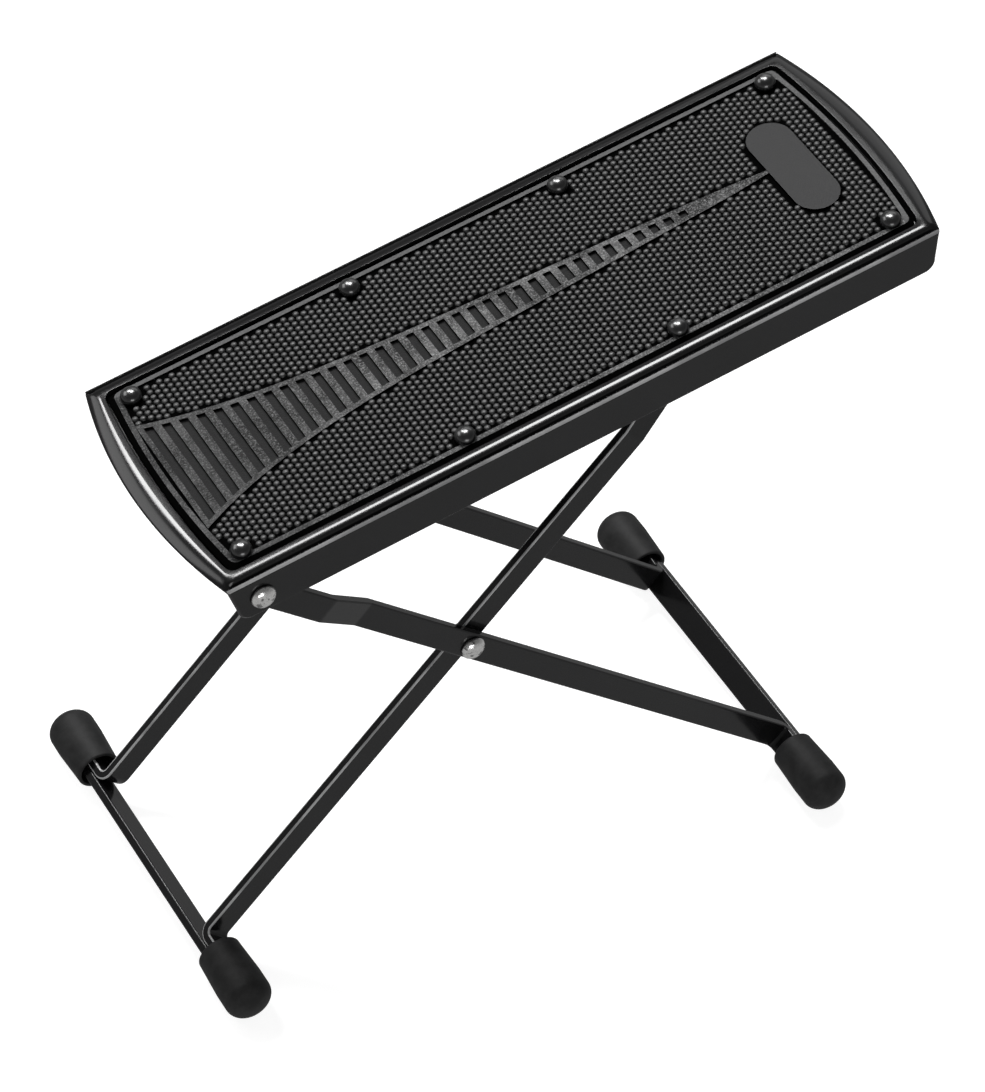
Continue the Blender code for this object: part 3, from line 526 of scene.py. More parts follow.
# %% Bright finishes
def gloss_black():
    """Enamel: a black base under a clear coat that mirrors the soft boxes."""
    enamel = Finish("gloss_black_enamel", Base_Color=(0.004, 0.004, 0.0042, 1),
                    Specular_IOR_Level=0.15, Coat_Roughness=0.22, Coat_IOR=1.75)
    ripple = enamel.noise(0.0016, detail=1.0)
    enamel.set(Roughness=0.32 + ripple * 0.06, Coat_Weight=0.8 + ripple * 0.1)
    enamel.set(Normal=enamel.bump(ripple, 0.00005))
    return enamel.material


def nickel_plate():
    nickel = Finish("nickel_plate")
    dents = nickel.noise(0.0009, detail=2.0)
    haze = nickel.noise(0.0022, detail=3.0)
    # random dark blotches, both tarnish and painted dark reflections in the nickel
    dull = haze.ramp(0.46, 0.36)
    grey, white, tarnish_and_reflection = (0.62, 0.615, 0.605), (0.90, 0.895, 0.885), (0.10, 0.10, 0.10)
    nickel.set(Base_Color=nickel.mix(dull * 0.8, nickel.mix(dents, grey, white), tarnish_and_reflection))
    nickel.set(Metallic=0.98 + haze * 0.02, Roughness=0.14 + haze * 0.16)
    nickel.set(Normal=nickel.bump(dents, 0.00010))
    return nickel.material


def nylon():
    plastic = Finish("black_nylon_finish")
    grain = plastic.noise(0.0004)
    plastic.set(Base_Color=plastic.mix(grain, (0.018, 0.018, 0.018), (0.030, 0.030, 0.030)))
    plastic.set(Roughness=0.42 + grain * 0.12, Normal=plastic.bump(grain, 0.00003))
    return plastic.material


enamel, nickel, washer_nylon = gloss_black(), nickel_plate(), nylon()
print("finishes", enamel.name, nickel.name, washer_nylon.name)

# %% [markdown]
# ## CAD pieces that keep their shape
#
# The washers are right as they are, so they only get a finish. The other CAD nodes get one too,
# although the pieces made below stand for them in the picture.

# %% Finishes on the CAD nodes
NODE_FINISHES = {"rubber_mat": mat_finish, "mat_rivet": enamel, "washer": washer_nylon, "rivet": nickel,
                 "foot_front": foot_finish, "foot_back": foot_finish}
for name, node in nodes.items():
    finish = next((made for part, made in NODE_FINISHES.items() if part in name), steel)
    node.data.materials.clear()
    node.data.materials.append(finish)
print("dressed", len(nodes), "nodes")

# %% [markdown]
# ## The foot plate
#
# The real plate is pressed from one sheet: a rolled rim runs round a sunk floor, both ends bow
# outwards, and the long sides are folded down into skirts. Its section is a chain of arcs, from the
# floor up the wall, over the crest and round the cut edge to the underside. Carried round the bowed
# outline it makes the whole tray. On the long sides the rim dips before it meets the skirt, which
# gives the dark groove beside the skirt's top edge. The near skirt's top edge gets a painted
# highlight, in the form of paint worn to the steel.

# %% Plate section
PLATE_HALF_LENGTH, PLATE_HALF_WIDTH = 123.43 * MM, 47.3 * MM
SHEET = 1.2 * MM
CREST, FLOOR_TOP = 9.4 * MM, 6.8 * MM
ROLL_RADIUS = 6.378 * MM
ROLL_CENTRE = (4.1 * MM, CREST - ROLL_RADIUS)
EDGE_INSET = 0.25 * MM
WALL_INSET, FILLET = 5.8 * MM, 0.5 * MM            # the recess's wall, and its foot's rounding
BROW_INSET, BROW_RADIUS = 5.2 * MM, 0.1 * MM       # the bend at the wall's top


def plate_section():
    """(inset, level) from the recess floor, over the crest and round the edge, to the underside."""
    steepest = degrees(asin((ROLL_CENTRE[0] - EDGE_INSET) / ROLL_RADIUS))
    inwards = np.array([sin(radians(steepest)), -cos(radians(steepest))])
    nose = (EDGE_INSET, ROLL_CENTRE[1] - ROLL_RADIUS * inwards[1]) + SHEET / 2 * inwards
    wall_foot = (WALL_INSET, FLOOR_TOP + FILLET)
    return np.vstack([
        [(WALL_INSET + FILLET, FLOOR_TOP)],
        arc(wall_foot, FILLET, 270, 180, 5),
        arc((BROW_INSET, 9.2 * MM), BROW_RADIUS, 0, 90, 7),
        [(BROW_INSET - FLAT, 9.3045 * MM)],
        arc(ROLL_CENTRE, ROLL_RADIUS, 90, 90 + steepest, 40),
        arc(nose, SHEET / 2, 90 + steepest, 270 + steepest, 10)[1:],
        arc(ROLL_CENTRE, ROLL_RADIUS - SHEET, 90 + steepest, 90, 10)[1:],
        arc(wall_foot, FILLET + SHEET, 180, 270, 7),
        [(WALL_INSET + FILLET, FLOOR_TOP - SHEET)]])


section = plate_section()
print("section of", len(section), "points")

# %% Plate outline
END_BOW, RECESS_BOW = 6.8 * MM, 2.8 * MM
RIM_END_WIDTH = 4.3 * MM
OUTER_CORNER, RECESS_CORNER = 1.1 * MM, 3.4 * MM
DIP, DIP_WIDTH, DIP_RUN = 1.5 * MM, 2.3 * MM, 1.1 * MM
BACK_LEAN = 0.12
SKIRT_INSIDE, SKIRT_OUTSIDE, SKIRT_TOP, SKIRT_EDGE = 45.8 * MM, 47.6 * MM, 8.3 * MM, 0.88 * MM


def smooth(share):
    """0 below 0, 1 above 1, and 3s^2 - 2s^3 between."""
    s = np.clip(share, 0, 1)
    return s * s * (3 - 2 * s)


def bowed_outlines(half_length, half_width, bow, corner, bow_steps=44, corner_steps=8):
    """Outlines, one row for each size, and each column's share of long side (1) or end (0).

    The sides are straight. Each end is an arc of the circle through both corners and the bow's top,
    of radius (w^2 + b^2) / 2b. Each corner is a quadratic curve between them.
    """
    sizes = (half_length, half_width, bow, corner)
    half_length, half_width, bow, corner = (np.reshape(size, (-1, 1)) for size in sizes)
    radius = (half_width ** 2 + bow ** 2) / (2 * bow)
    span = np.arcsin(half_width / radius) - corner / radius
    angle = span * np.linspace(-1, 1, bow_steps + 1)
    centre = half_length + bow - radius
    end = np.stack([centre + radius * np.cos(angle), radius * np.sin(angle)], axis=-1)
    t = np.linspace(0, 1, corner_steps + 1)[None, 1:, None]
    tip = np.stack([half_length, half_width], axis=-1)
    side = np.stack([half_length - corner, half_width], axis=-1)
    upper = (1 - t) ** 2 * end[:, -1:] + 2 * t * (1 - t) * tip + t ** 2 * side
    right = np.concatenate([upper[:, ::-1] * (1, -1), end, upper], axis=1)
    share = np.concatenate([t[0, ::-1, 0], np.zeros(bow_steps + 1), t[0, :, 0]])
    return np.concatenate([right, -right], axis=1), np.concatenate([share, share])


def plate_tray():
    """Rings of the section round the outline. Towards the floor the bow and corners change to the
    recess's. Along the sides the rim's outer part dips, and the back rim leans out."""
    inset, level = section.T
    share = np.minimum(inset / WALL_INSET, 1)
    outlines, side = bowed_outlines(
        PLATE_HALF_LENGTH - inset * RIM_END_WIDTH / WALL_INSET, PLATE_HALF_WIDTH - inset,
        END_BOW + (RECESS_BOW - END_BOW) * share, OUTER_CORNER + (RECESS_CORNER - OUTER_CORNER) * share)
    dip = DIP * smooth((DIP_WIDTH - inset) / DIP_RUN)
    lean = BACK_LEAN * np.maximum(BROW_INSET - inset, 0)[:, None] * (outlines[..., 1] > 0)
    levels = level[:, None] - (dip[:, None] + lean) * smooth(side)
    return lofted(np.concatenate([outlines + (MAT_MIDDLE, 0), levels[:, :, None]], axis=2))


def skirt_outline(top):
    """Side view: a long strip whose lower corners are round and whose ends stand nearly upright."""
    foot, shoulder, bottom, radius = 121.5 * MM, 123.3 * MM, -7.5 * MM, 4.2 * MM
    left = arc((-foot + radius, bottom + radius), radius, 180, 270, 12)
    right = arc((foot - radius, bottom + radius), radius, 270, 360, 12)
    ends = np.array([(shoulder, top - 1.6 * MM), (shoulder + 0.2 * MM, top)])
    return np.vstack([ends[::-1] * (-1, 1), left, right, ends]) + (MAT_MIDDLE, 0)


skirts = [slab(skirt_outline(SKIRT_TOP), *sorted((side * SKIRT_INSIDE, side * SKIRT_OUTSIDE)),
               SKIRT_EDGE, 1, power=1.3) for side in (-1, 1)]
tray = plate_tray()
plate = joined(tray, *skirts)
# the near skirt's top edge: a painted highlight line, in the form of paint worn to steel
on_fold = (plate[0][:, 1] < -46.75 * MM) & (plate[0][:, 2] > 7.45 * MM)
on_fold[:len(tray[0])] = False          # the rim beside the skirt gets no painted highlight
add_piece("pressed_plate", carried(plate, PLATE), steel, "foot_plate", ["foot_plate"],
          on_fold)

# %% [markdown]
# ## The mat
#
# The CAD mat already has its border, tread and bare pad. Its mesh is loose triangles with hard edges,
# so a copy is merged and its flat faces are joined, and then a Bevel modifier rounds what moulded
# rubber can't have sharp. Along the back and at the raised end the border is a narrow lip, so the
# copy's border is squeezed outwards there, and the nubs go up to it.

# %% Mat
FIELD_LEVEL = 8.3 * MM
# Across: where the CAD mat has points, and where the copy has them
ACROSS_BEFORE = np.array([-50, 36.5, 37.3, 37.8, 39.4, 41.0]) * MM
ACROSS_AFTER = np.array([-50, 36.5, 38.7, 39.1, 40.6, 41.3]) * MM
# Along, on a scale that follows the bowed end: where points lie, and how far they are moved
ALONG_BEFORE = np.array([-200, 117.0, 118.3, 119.9, 121.5]) * MM
ALONG_SHIFT = np.array([0, 0, 1.2, 1.1, 0.3]) * MM


def mat_copy():
    """The CAD mat merged, with its border squeezed outwards along the back and at the raised end."""
    mesh = nodes["rubber_mat"].data.copy()
    mesh.name = "mat_sheet"
    work = bmesh.new()
    work.from_mesh(mesh)
    bmesh.ops.remove_doubles(work, verts=work.verts, dist=1e-6)
    bmesh.ops.dissolve_limit(work, angle_limit=radians(0.5), verts=work.verts, edges=work.edges)
    work.to_mesh(mesh)
    work.free()
    flat = np.empty(len(mesh.vertices) * 3, np.float32)
    mesh.vertices.foreach_get("co", flat)
    points = placed(flat.reshape(-1, 3), np.linalg.inv(PLATE))
    points[:, 1] = np.interp(points[:, 1], ACROSS_BEFORE, ACROSS_AFTER)
    bowed = points[:, 0] - MAT_MIDDLE + points[:, 1] ** 2 * END_CURVE
    points[:, 0] += np.interp(bowed, ALONG_BEFORE, ALONG_SHIFT)
    mesh.vertices.foreach_set("co", placed(points, PLATE).astype(np.float32).ravel())
    mesh.update()
    return mesh


def paint_shade_on_grooves(mesh, level):
    """The painted-shade finish goes to faces that lean more than 20 degrees, and to the field's own."""
    count = len(mesh.polygons)
    normals, centres = np.empty(count * 3, np.float32), np.empty(count * 3, np.float32)
    mesh.polygons.foreach_get("normal", normals)
    mesh.polygons.foreach_get("center", centres)
    lean = normals.reshape(-1, 3) @ PLATE[:3, 2]
    height = placed(centres.reshape(-1, 3), np.linalg.inv(PLATE))[:, 2]
    low = (lean < 0.94) | (np.abs(height - level) < 0.15 * MM)
    mesh.polygons.foreach_set("material_index", low.astype(np.int32))
    return low.sum()


sheet = bpy.data.objects.new("mat_sheet", mat_copy())
bpy.context.scene.collection.objects.link(sheet)
# faces that lean, and the field, get the near-black painted shade
sheet.data.materials.append(painted_shade_finish)
print(paint_shade_on_grooves(sheet.data, FIELD_LEVEL), "faces of grooves")
sheet.data.shade_smooth()
sheet.data.set_sharp_from_angle(angle=radians(20))
soften = sheet.modifiers.new("soft_edges", "BEVEL")
soften.width, soften.segments = 0.12 * MM, 2
soften.limit_method, soften.angle_limit = "ANGLE", radians(25)
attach(sheet, "foot_plate")
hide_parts("rubber_mat")
print("mat_sheet", len(sheet.data.polygons), "faces")

# %% [markdown]
# ## Grip nubs
#
# The mat's field is covered with small round nubs in staggered rows. They are moulded with the mat, so
# they ride with it. A texture could fake them, but they cast little shadows, and with the near-black
# painted shade on the field and the nubs' flanks they make the mat look black between bright tops.
# One nub of 25 faces is laid out about 2,600 times with numpy.
# A nub is left out where it would touch the tread, the bare pad, a rivet or the border.

# %% Nub places
COLUMN_PITCH, NUB_PITCH = 2.15 * MM, 2.30 * MM
NUB_RADIUS, NUB_HEIGHT = 1.14 * MM, 0.85 * MM
NUB_CLEARANCE = 0.85 * MM
FIELD_HALF_WIDTH, FIELD_HALF_LENGTH, FIELD_BOW = 37.8 * MM, 115.5 * MM, 2.8 * MM
BACK_SHIFT, END_SHIFT = 1.3 * MM, 1.2 * MM          # the squeezed border leaves room for more
TREAD_START, TREAD_TIP, TREAD_OFFSET = -3.9 * MM, 207.5 * MM, 3.5 * MM
MAT_RIVET_RADIUS = 3.4 * MM
RIVET_PLACES = np.array([(u, v) for v in (-36.2, 36.2) for u in (-112.8, -37.0, 37.0, 112.8)]) * MM


def tread_reach(x):
    """How far the tread reaches to the front and to the back of its centre line: a slow taper with the
    power 0.75, and a flare with the power 6 that is wider at the front."""
    share = np.clip((x - TREAD_START) / (TREAD_TIP - TREAD_START), 0, 1)
    taper = (0.6 + 9.9 * (1 - share) ** 0.75) * MM
    return taper + 16.0 * MM * (1 - share) ** 6, taper + 11.2 * MM * (1 - share) ** 6


def nub_places():
    """Centres (u, v) from the mat's middle: columns along the mat, every other one half a pitch on."""
    column, row = np.meshgrid(np.arange(-56, 57), np.arange(-18, 19), indexing="ij")
    u = column * COLUMN_PITCH + 0.4 * MM
    v = (row + 0.5 * (column % 2)) * NUB_PITCH + 0.35 * MM
    half_width = FIELD_HALF_WIDTH - NUB_CLEARANCE
    half_length = FIELD_HALF_LENGTH + END_SHIFT * (u > 0) - NUB_CLEARANCE
    kept = (v > -half_width) & (v < half_width + BACK_SHIFT)
    kept &= np.abs(u) < half_length + FIELD_BOW * (1 - (v / half_width) ** 2)
    front, back = tread_reach(u + MAT_MIDDLE)
    tread = (v > TREAD_OFFSET - front - NUB_CLEARANCE) & (v < TREAD_OFFSET + back + NUB_CLEARANCE)
    kept &= ~(tread & (u + MAT_MIDDLE < TREAD_TIP + NUB_CLEARANCE))
    beyond = np.maximum(np.abs(v - BADGE_CENTRE[1]) - (BADGE_HALF_LENGTH - BADGE_RADIUS), 0)
    kept &= np.hypot(u + MAT_MIDDLE - BADGE_CENTRE[0], beyond) > BADGE_RADIUS + NUB_CLEARANCE
    apart = np.hypot(u[..., None] - RIVET_PLACES[:, 0], v[..., None] - RIVET_PLACES[:, 1]).min(axis=-1)
    kept &= apart > MAT_RIVET_RADIUS + NUB_CLEARANCE
    return np.stack([u[kept] + MAT_MIDDLE, v[kept]], axis=1)


places = nub_places()
print(len(places), "nubs")

# %% Nubs
def nub_shape(sides=8):
    """One nub like a round loaf: rings that narrow as they rise, a top point and a flat base."""
    rings = np.array([(1.0, -0.1), (0.92, 0.58), (0.62, 0.90)])
    angle = 2 * pi * (np.arange(sides) + 0.5) / sides
    x, y = np.outer(rings[:, 0], np.cos(angle)), np.outer(rings[:, 0], np.sin(angle))
    z = np.repeat(rings[:, 1:], sides, axis=1)
    points = np.vstack([np.stack([x, y, z], axis=-1).reshape(-1, 3), [(0, 0, 1)]])
    near = np.arange(sides)
    upper, pole = 2 * sides, np.full(sides, 3 * sides)
    top = np.stack([upper + near, upper + (near + 1) % sides, pole], axis=1)
    return points * (NUB_RADIUS, NUB_RADIUS, NUB_HEIGHT), [grid_quads(3, sides), top, near[None, ::-1]]


def repeated(shape, offsets):
    """The shape laid out at every offset, as whole arrays."""
    points, groups = shape
    starts = len(points) * np.arange(len(offsets))
    all_points = (points[None] + offsets[:, None]).reshape(-1, 3)
    moved = [group[None] + starts[:, None, None] for group in groups]
    return all_points, [group.reshape(-1, group.shape[-1]) for group in moved]


nub_offsets = np.column_stack([places, np.full(len(places), FIELD_LEVEL)])
nubs = repeated(nub_shape(), nub_offsets)
add_piece("mat_grip_nubs", carried(nubs, PLATE), grip_finish, "foot_plate", sharp=70)

# %% [markdown]
# ## Mat rivets
#
# Eight rivets with round black heads hold the mat. A head is a profile turned about the rivet's axis:
# a curve a little fuller than an ellipse's quarter, then the shank and the formed tail.

# %% Mat rivets
def dome_profile(radius, height, seat, power=2.0, steps=14):
    """(r, y) from the pole to the seat along r^p / R^p + h^p / H^p = 1."""
    swing = np.radians(np.linspace(0, 90, steps))
    r = radius * np.sin(swing) ** (2 / power)
    h = height * np.cos(swing) ** (2 / power)
    return np.column_stack([r, seat + h])


def rivet_profile(head, tail, shank, seat, end, power=2.0):
    """(r, y) of a rivet from the head's pole to the tail's: y falls along the shank. The head and
    the tail are given as (radius, height), and the shank as its radius."""
    dome = dome_profile(*head, seat + 0.12 * MM, power)
    foot = [(head[0] - 0.06 * MM, seat), (shank, seat), (shank, end), (tail[0] - 0.2 * MM, end)]
    pole = end - tail[1]
    formed = [(tail[0], end - 0.2 * MM), (tail[0], pole + 0.3 * MM), (tail[0] - 0.4 * MM, pole)]
    return np.vstack([dome, foot, formed, [(0, pole)]])


mat_head, mat_tail, mat_shank = (MAT_RIVET_RADIUS, 2.88 * MM), (2.6 * MM, 0.8 * MM), 1.5 * MM
mat_rivet = turned(rivet_profile(mat_head, mat_tail, mat_shank, 9.1 * MM, 5.3 * MM, 2.25))
UPRIGHT = np.array([[1.0, 0, 0, 0], [0, 0, 1, 0], [0, 1, 0, 0], [0, 0, 0, 1]])
for index, (u, v) in enumerate(RIVET_PLACES):
    stood = UPRIGHT.copy()
    stood[:3, 3] = (MAT_MIDDLE + u, v, 0)
    add_piece(f"mat_rivet_dome_{index + 1}", carried(mat_rivet, PLATE @ stood), enamel, "foot_plate",
              [f"mat_rivet_{index + 1}"])

# %% [markdown]
# ## Rivets that the legs turn on
#
# Two nickel-plated rivets join the outer legs to the skirts, and two more join the legs where they
# cross. Their heads are lower than the mat's.

# %% Side rivets
SIDE_HEAD, SIDE_TAIL, SIDE_SHANK = (4.1 * MM, 2.48 * MM), (3.4 * MM, 1.1 * MM), 2.3 * MM


def side_rivet(seat, end, side):
    """A rivet across the footrest, whose head faces the side (-1 or 1)."""
    points, groups = turned(rivet_profile(SIDE_HEAD, SIDE_TAIL, SIDE_SHANK, seat, end))
    return points * (1, side, 1), groups


CROSSING_ON_OUTER = slope_frame(CROSSING, OUTER_SLOPE)
for side, end in SIDES:
    pivot_rivet = carried(side_rivet(47.9 * MM, 41.9 * MM, side), PLATE)
    scissor_rivet = carried(side_rivet(42.2 * MM, 34.4 * MM, side), CROSSING_ON_OUTER)
    add_piece(f"pivot_rivet_dome_{end}", pivot_rivet, nickel,
              "foot_plate", [f"pivot_rivet_{end}"])
    add_piece(f"scissor_rivet_dome_{end}", scissor_rivet, nickel,
              "outer_legs", [f"scissor_rivet_{end}"])

# %% [markdown]
# ## Flat bars of the legs
#
# Each leg is one flat bar, 9.2 by 3 mm, with round corners. It jogs inwards to pass its neighbour and
# turns outwards at the toe. The bar's section is carried along a path of straight runs and arcs, and
# its first end narrows to a half circle round the rivet. The corners are stored in an attribute, so
# that the finish paints a highlight there in the form of worn paint: most on the inner legs, and
# fully on the upper corners, which face the lights.

# %% Bars
BAR_HALF_WIDTH, BAR_HALF_THICKNESS, BAR_ROUND = 4.6 * MM, 1.5 * MM, 0.5 * MM


def bar_section():
    """(through, across) of a rectangle with round corners, and how much painted highlight each point
    gets: fully at the two upper corners, which face the lights, less at the lower ones, and none on the
    flats."""
    a, b = BAR_HALF_THICKNESS - BAR_ROUND, BAR_HALF_WIDTH - BAR_ROUND
    corners = [((a, b), 0), ((-a, b), 90), ((-a, -b), 180), ((a, -b), 270)]
    rows, edge_highlight = [], []
    for centre, start in corners:
        turn = arc(centre, BAR_ROUND, start, start + 90, 6)
        before = turn[0] - FLAT * np.array([-sin(radians(start)), cos(radians(start))])
        after = turn[-1] + FLAT * np.array([-cos(radians(start)), -sin(radians(start))])
        rows += [before[None], turn, after[None]]
        # painted highlight: full on the two upper corners, which face the lights, 0.4 on the lower ones
        edge_highlight += [0, *[1.0 if start < 180 else 0.4] * len(turn), 0]
    return np.vstack(rows), np.array(edge_highlight, float)


def bent_path(corners, radii, steps=14):
    """Points and headings of straight runs joined by arcs of the given radii, in a plane."""
    corners = np.asarray(corners, float)
    points, headings = [corners[0]], []
    for before, corner, after, radius in zip(corners, corners[1:], corners[2:], radii):
        come = (corner - before) / np.linalg.norm(corner - before)
        leave = (after - corner) / np.linalg.norm(after - corner)
        turn = np.arctan2(come[0] * leave[1] - come[1] * leave[0], come @ leave)
        reach, sense = radius * abs(np.tan(turn / 2)), np.sign(turn)
        centre = corner - come * reach + sense * radius * np.array([-come[1], come[0]])
        angle = turn * np.linspace(0, 1, max(4, int(abs(turn) / (pi / 2) * steps)))
        heading = np.stack([np.cos(angle) * come[0] - np.sin(angle) * come[1],
                            np.sin(angle) * come[0] + np.cos(angle) * come[1]], axis=1)
        if not headings:
            headings.append(come)
        points.extend(centre - sense * radius * np.stack([-heading[:, 1], heading[:, 0]], axis=1))
        headings.extend(heading)
    return np.vstack([*points, corners[-1]]), np.vstack([*headings, headings[-1]])


def leg_bar(corners, radii, side, mirror=1):
    """A bar along a bent path in the (along, out) plane, whose first end is round.

    Near that end the half width is R sin a at R cos a before the path's start.
    """
    points, headings = bent_path(corners, radii)
    swing = np.radians(np.linspace(9, 84, 9))
    nose = points[0] - headings[0] * BAR_HALF_WIDTH * np.cos(swing)[:, None]
    widths = np.concatenate([np.sin(swing), np.ones(len(points))])
    points = np.vstack([nose, points])
    headings = np.vstack([np.repeat(headings[:1], len(nose), axis=0), headings])
    outward = np.stack([-headings[:, 1], headings[:, 0]], axis=1)
    through, across = section_points.T
    plane = points[:, None] + outward[:, None] * through[None, :, None]
    z = widths[:, None] * across[None]
    return lofted(np.stack([mirror * plane[..., 0], side * plane[..., 1], z], axis=-1))


section_points, section_highlight = bar_section()
# (along, out): the rivet or rod, the jog's two bends, the toe's bend and the toe's tip
OUTER_PATH = np.array([(0, 44.6), (30, 44.6), (49, 40.4), (264.65, 40.4), (264.65, 68.0)]) * MM
INNER_PATH = np.array([(-120.6, 33.2), (-106, 33.2), (-84, 36.2), (130.75, 36.2), (130.75, 63.8)]) * MM
BEND_RADII = np.array([6, 6, 3.4]) * MM


def add_bar(name, shape, body, node, painted_highlight):
    """A bar from rings of the section, whose corners get a painted highlight, as worn paint, by a share
    of 0 to 1.
    """
    edge_highlight = painted_highlight * np.tile(section_highlight, len(shape[0]) // len(section_highlight))
    add_piece(name, shape, steel, body, [node], edge_highlight)


# how strong each leg bar's painted highlight is
OUTER_HIGHLIGHT, INNER_HIGHLIGHT = 0.4, 1.0
for side, end in SIDES:
    outer_bar = carried(leg_bar(OUTER_PATH, BEND_RADII, side), OUTER_LEG)
    inner_bar = carried(leg_bar(INNER_PATH, BEND_RADII, side, -1), INNER_LEG)
    add_bar(f"outer_bar_{end}", outer_bar, "outer_legs", f"outer_leg_{end}", OUTER_HIGHLIGHT)
    add_bar(f"inner_bar_{end}", inner_bar, "inner_legs", f"inner_leg_{end}", INNER_HIGHLIGHT)

# %% Floor bars
def cross_bar(along, half):
    """The bar's section carried straight across, from one rubber foot to the other."""
    through, across = section_points.T
    return lofted([np.column_stack([along + through, np.full(len(through), y), across])
                   for y in (-half, half)])


# how strong the floor bars' painted highlight is
CROSS_BAR_HIGHLIGHT = 0.4
outer_cross = carried(cross_bar(267.95 * MM, 68.0 * MM), OUTER_LEG)
inner_cross = carried(cross_bar(-134.05 * MM, 63.8 * MM), INNER_LEG)
add_bar("outer_cross_bar", outer_cross, "outer_legs", "outer_floor_bar", CROSS_BAR_HIGHLIGHT)
add_bar("inner_cross_bar", inner_cross, "inner_legs", "inner_floor_bar", CROSS_BAR_HIGHLIGHT)

# %% [markdown]
# ## Rubber feet
#
# Each foot is a moulded cap, pushed over the toe and the floor bar's end. It is a turned profile: a
# round bore, a rounded lip, a wall that widens a little, and a flat dome with a soft shoulder. It
# stands on the floor, so what would reach below is pressed flat.

# %% Feet
def cap_profile():
    """(r, y) from the bore's bottom, out over the lip and along the wall to the dome's pole."""
    lip = arc((6.7 * MM, 0.75 * MM), 0.62 * MM, 180, 360, 11)
    dome = dome_profile(8.0 * MM, 5.6 * MM, 19.8 * MM, 2.15, 20)[::-1]
    wall = np.column_stack([np.linspace(7.34, 8.0, 8), np.linspace(1.6, 13.6, 8)]) * MM
    return np.vstack([[(0, 20.9 * MM), (5.9 * MM, 20.9 * MM), (6.08 * MM, 20.7 * MM)], lip, wall, dome])


def foot_cap(side, along, mouth):
    """A cap on the toe at a place along the leg, whose mouth is this far from the middle."""
    points, groups = turned(cap_profile(), 64)
    return (points * (1, side, 1)) + (along, side * mouth, 0), groups


def stood_on_floor(shape):
    """The shape pressed flat where it would reach below the floor."""
    points, groups = shape
    points[:, 2] = np.maximum(points[:, 2], 0)
    return points, groups


for side, end in SIDES:
    outer = stood_on_floor(carried(foot_cap(side, 266.3 * MM, 47.4 * MM), OUTER_LEG))
    inner = stood_on_floor(carried(foot_cap(side, -132.4 * MM, 43.2 * MM), INNER_LEG))
    add_piece(f"outer_cap_{end}", outer, foot_finish, "outer_legs",
              [f"outer_foot_{end}"])
    add_piece(f"inner_cap_{end}", inner, foot_finish, "inner_legs",
              [f"inner_foot_{end}"])

# %% [markdown]
# ## Rod and rack
#
# The rod across the inner legs' tops carries the plate's load. It sits under two rails whose notches
# set the height. Both are simple sweeps: a turned profile, and a slab cut to the notched outline with
# a flange along its top.

# %% Rod
peened_head = [(0, 35.9), (2.5, 35.9), (2.9, 35.6), (2.9, 35.0)]
tenon = [(2.0, 35.0), (2.0, 31.4), (2.7, 31.4), (3.0, 31.1)]
half_rod = np.array(peened_head + tenon) * MM
rod = turned(np.vstack([half_rod, half_rod[::-1] * (1, -1)]), 40)
rod_frame = np.eye(4)
rod_frame[0, 3] = 120.6 * MM
add_piece("notch_rod", carried(rod, INNER_LEG @ rod_frame), steel, "inner_legs", ["inner_top_rod"])

# %% Rack rails
NOTCHES, NOTCH_PITCH, NOTCH_DEPTH, NOTCH_RADIUS = 6, 8.0 * MM, 3.1 * MM, 3.3 * MM
FIRST_NOTCH, RAIL_MARGIN, TOOTH_TIP = 159.4 * MM, 4.6 * MM, 0.8 * MM


def notched_outline():
    """Side view of a rail: notches that are round at the root, steep towards the raised end and
    sloped towards the pivot."""
    tips, top = -0.8 * MM, 5.3 * MM
    centre_level = tips + NOTCH_DEPTH - NOTCH_RADIUS
    stop = degrees(asin((tips - centre_level) / NOTCH_RADIUS))
    left = FIRST_NOTCH - RAIL_MARGIN
    rows = [[(left, top), (left, tips)]]
    for index in range(NOTCHES):
        centre = FIRST_NOTCH + index * NOTCH_PITCH
        ramp_foot = centre - NOTCH_PITCH + NOTCH_RADIUS * cos(radians(stop)) + TOOTH_TIP
        rows.append([(max(ramp_foot, left + TOOTH_TIP), tips)])
        rows.append(arc((centre, centre_level), NOTCH_RADIUS, 120, stop, 14))
    right = FIRST_NOTCH + (NOTCHES - 1) * NOTCH_PITCH + RAIL_MARGIN
    rows.append([(right, tips), (right, top)])
    return np.vstack(rows)


def rail(side):
    """The notched web, and the flange that is welded under the plate."""
    outline = notched_outline()
    left, right, top = outline[0, 0], outline[-1, 0], outline[0, 1]
    web = slab(outline, *sorted((side * 21.0 * MM, side * 22.6 * MM)), 0.15 * MM, 1, 3)
    near, far = sorted((side * 21.8 * MM, side * 13.6 * MM))
    corners = [(left, near), (right, near), (right, far), (left, far)]
    flange = slab(corners, top - 1.6 * MM, top, 0.3 * MM, 2)
    return joined(web, flange)


for side, end in SIDES:
    add_piece(f"rack_{end}", carried(rail(side), PLATE), steel, "foot_plate", [f"rack_rail_{end}"],
              sharp=30)

# %% [markdown]
# ## Floor
#
# The photograph has a white ground with faint, soft shadows under the feet. A table lit from below
# gives that: a pale floor that glows, and that the glossy parts don't mirror.

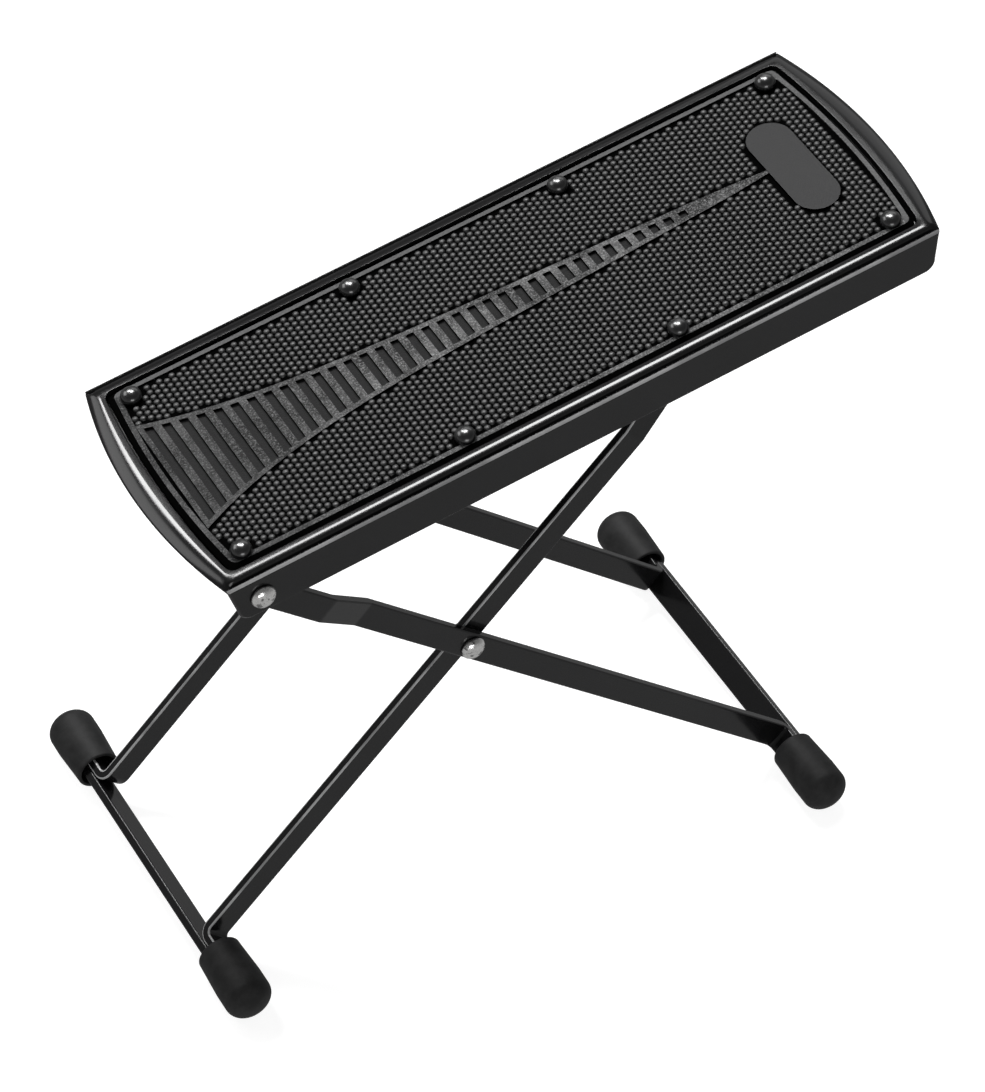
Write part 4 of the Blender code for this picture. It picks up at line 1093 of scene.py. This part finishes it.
# %% Floor
FLOOR_REACH, FLOOR_POINTS = 4, 9
floor_finish = Finish("pale_floor", Specular_IOR_Level=0.2, Emission_Strength=2.55)
cloud = floor_finish.noise(0.25, detail=2.0)
pale = floor_finish.mix(cloud, (0.33, 0.33, 0.33), (0.36, 0.36, 0.36))
floor_finish.set(Base_Color=pale, Emission_Color=pale, Roughness=0.75 + cloud * 0.1)
steps = np.linspace(-FLOOR_REACH, FLOOR_REACH, FLOOR_POINTS)
across, along = np.meshgrid(steps, steps, indexing="ij")
floor_points = np.stack([across, along, np.zeros_like(across)], axis=-1).reshape(-1, 3)
floor_faces = grid_quads(FLOOR_POINTS, FLOOR_POINTS, closed=False)[:, ::-1]
floor_mesh = new_mesh("floor", floor_points, [floor_faces])
floor_mesh.materials.append(floor_finish.material)
floor = bpy.data.objects.new("floor", floor_mesh)
bpy.context.scene.collection.objects.link(floor)
floor.visible_glossy = False
print("floor", 2 * FLOOR_REACH, "m wide")

# %% [markdown]
# ## Lights
#
# Polished black shows its lights and little else. One soft box overhead draws the white line along
# the near rim, and one behind it draws the line along the left rim. Both are small and far off, so
# that the flat parts beside the lines stay black. Weak boxes at the left, right and front lift the
# slopes that face them. One big box would be simpler, but it turns the whole plate grey.

# %% Lights
TARGET = Vector((0.0, 0.0, 0.12))       # what every light faces: the footrest's middle


def soft_box(name, direction, distance, size, radiance, shape="RECTANGLE"):
    """A light in a direction from the target. Its power is radiance x area x pi."""
    data = bpy.data.lights.new(name, "AREA")
    data.shape, data.size, data.size_y = shape, *size
    data.energy = radiance * size[0] * size[1] * pi * (pi / 4 if shape == "ELLIPSE" else 1)
    lamp = bpy.data.objects.new(name, data)
    bpy.context.scene.collection.objects.link(lamp)
    heading = Vector(direction).normalized()
    across = Vector((0, 0, 1)).cross(heading).normalized()
    turn = Matrix((across, heading.cross(across), heading)).transposed().to_4x4()
    lamp.matrix_world = Matrix.Translation(TARGET + heading * distance) @ turn


soft_box("overhead", (0.085, 0.44, 0.895), 4.0, (1.3, 1.0), 34, "ELLIPSE")
soft_box("behind", (-0.10, 0.62, 0.78), 4.0, (0.72, 0.72), 34, "ELLIPSE")
soft_box("left", (-0.55, 0.60, 0.58), 1.6, (0.9, 0.6), 3.4)
soft_box("right", (0.50, 0.62, 0.60), 1.8, (1.2, 0.7), 1.1)
soft_box("front", (-0.30, -0.92, 0.25), 1.8, (0.9, 0.6), 4)

# %% [markdown]
# ## World
#
# The room's walls light what the boxes leave out. They are brighter below the horizon than above it,
# and a little darker behind the footrest, so that the far rim keeps its black slopes.

# %% World
world = bpy.data.worlds.new("studio")
bpy.context.scene.world = world
studio = Shading(world, "Background")
x, y, z = studio.parts(studio.node("ShaderNodeTexCoord", output="Generated"))
below = 0.42 - y.ramp(-0.1, 0.55) * 0.10
above = 0.27 - z.ramp(0.1, 0.7) * 0.12
rise = z.ramp(-0.10, 0.12)
studio.set(Strength=below * (1 - rise) + above * rise, Color=(1, 1, 1, 1))
bpy.context.scene.view_settings.view_transform = "Standard"
print("world", world.name)
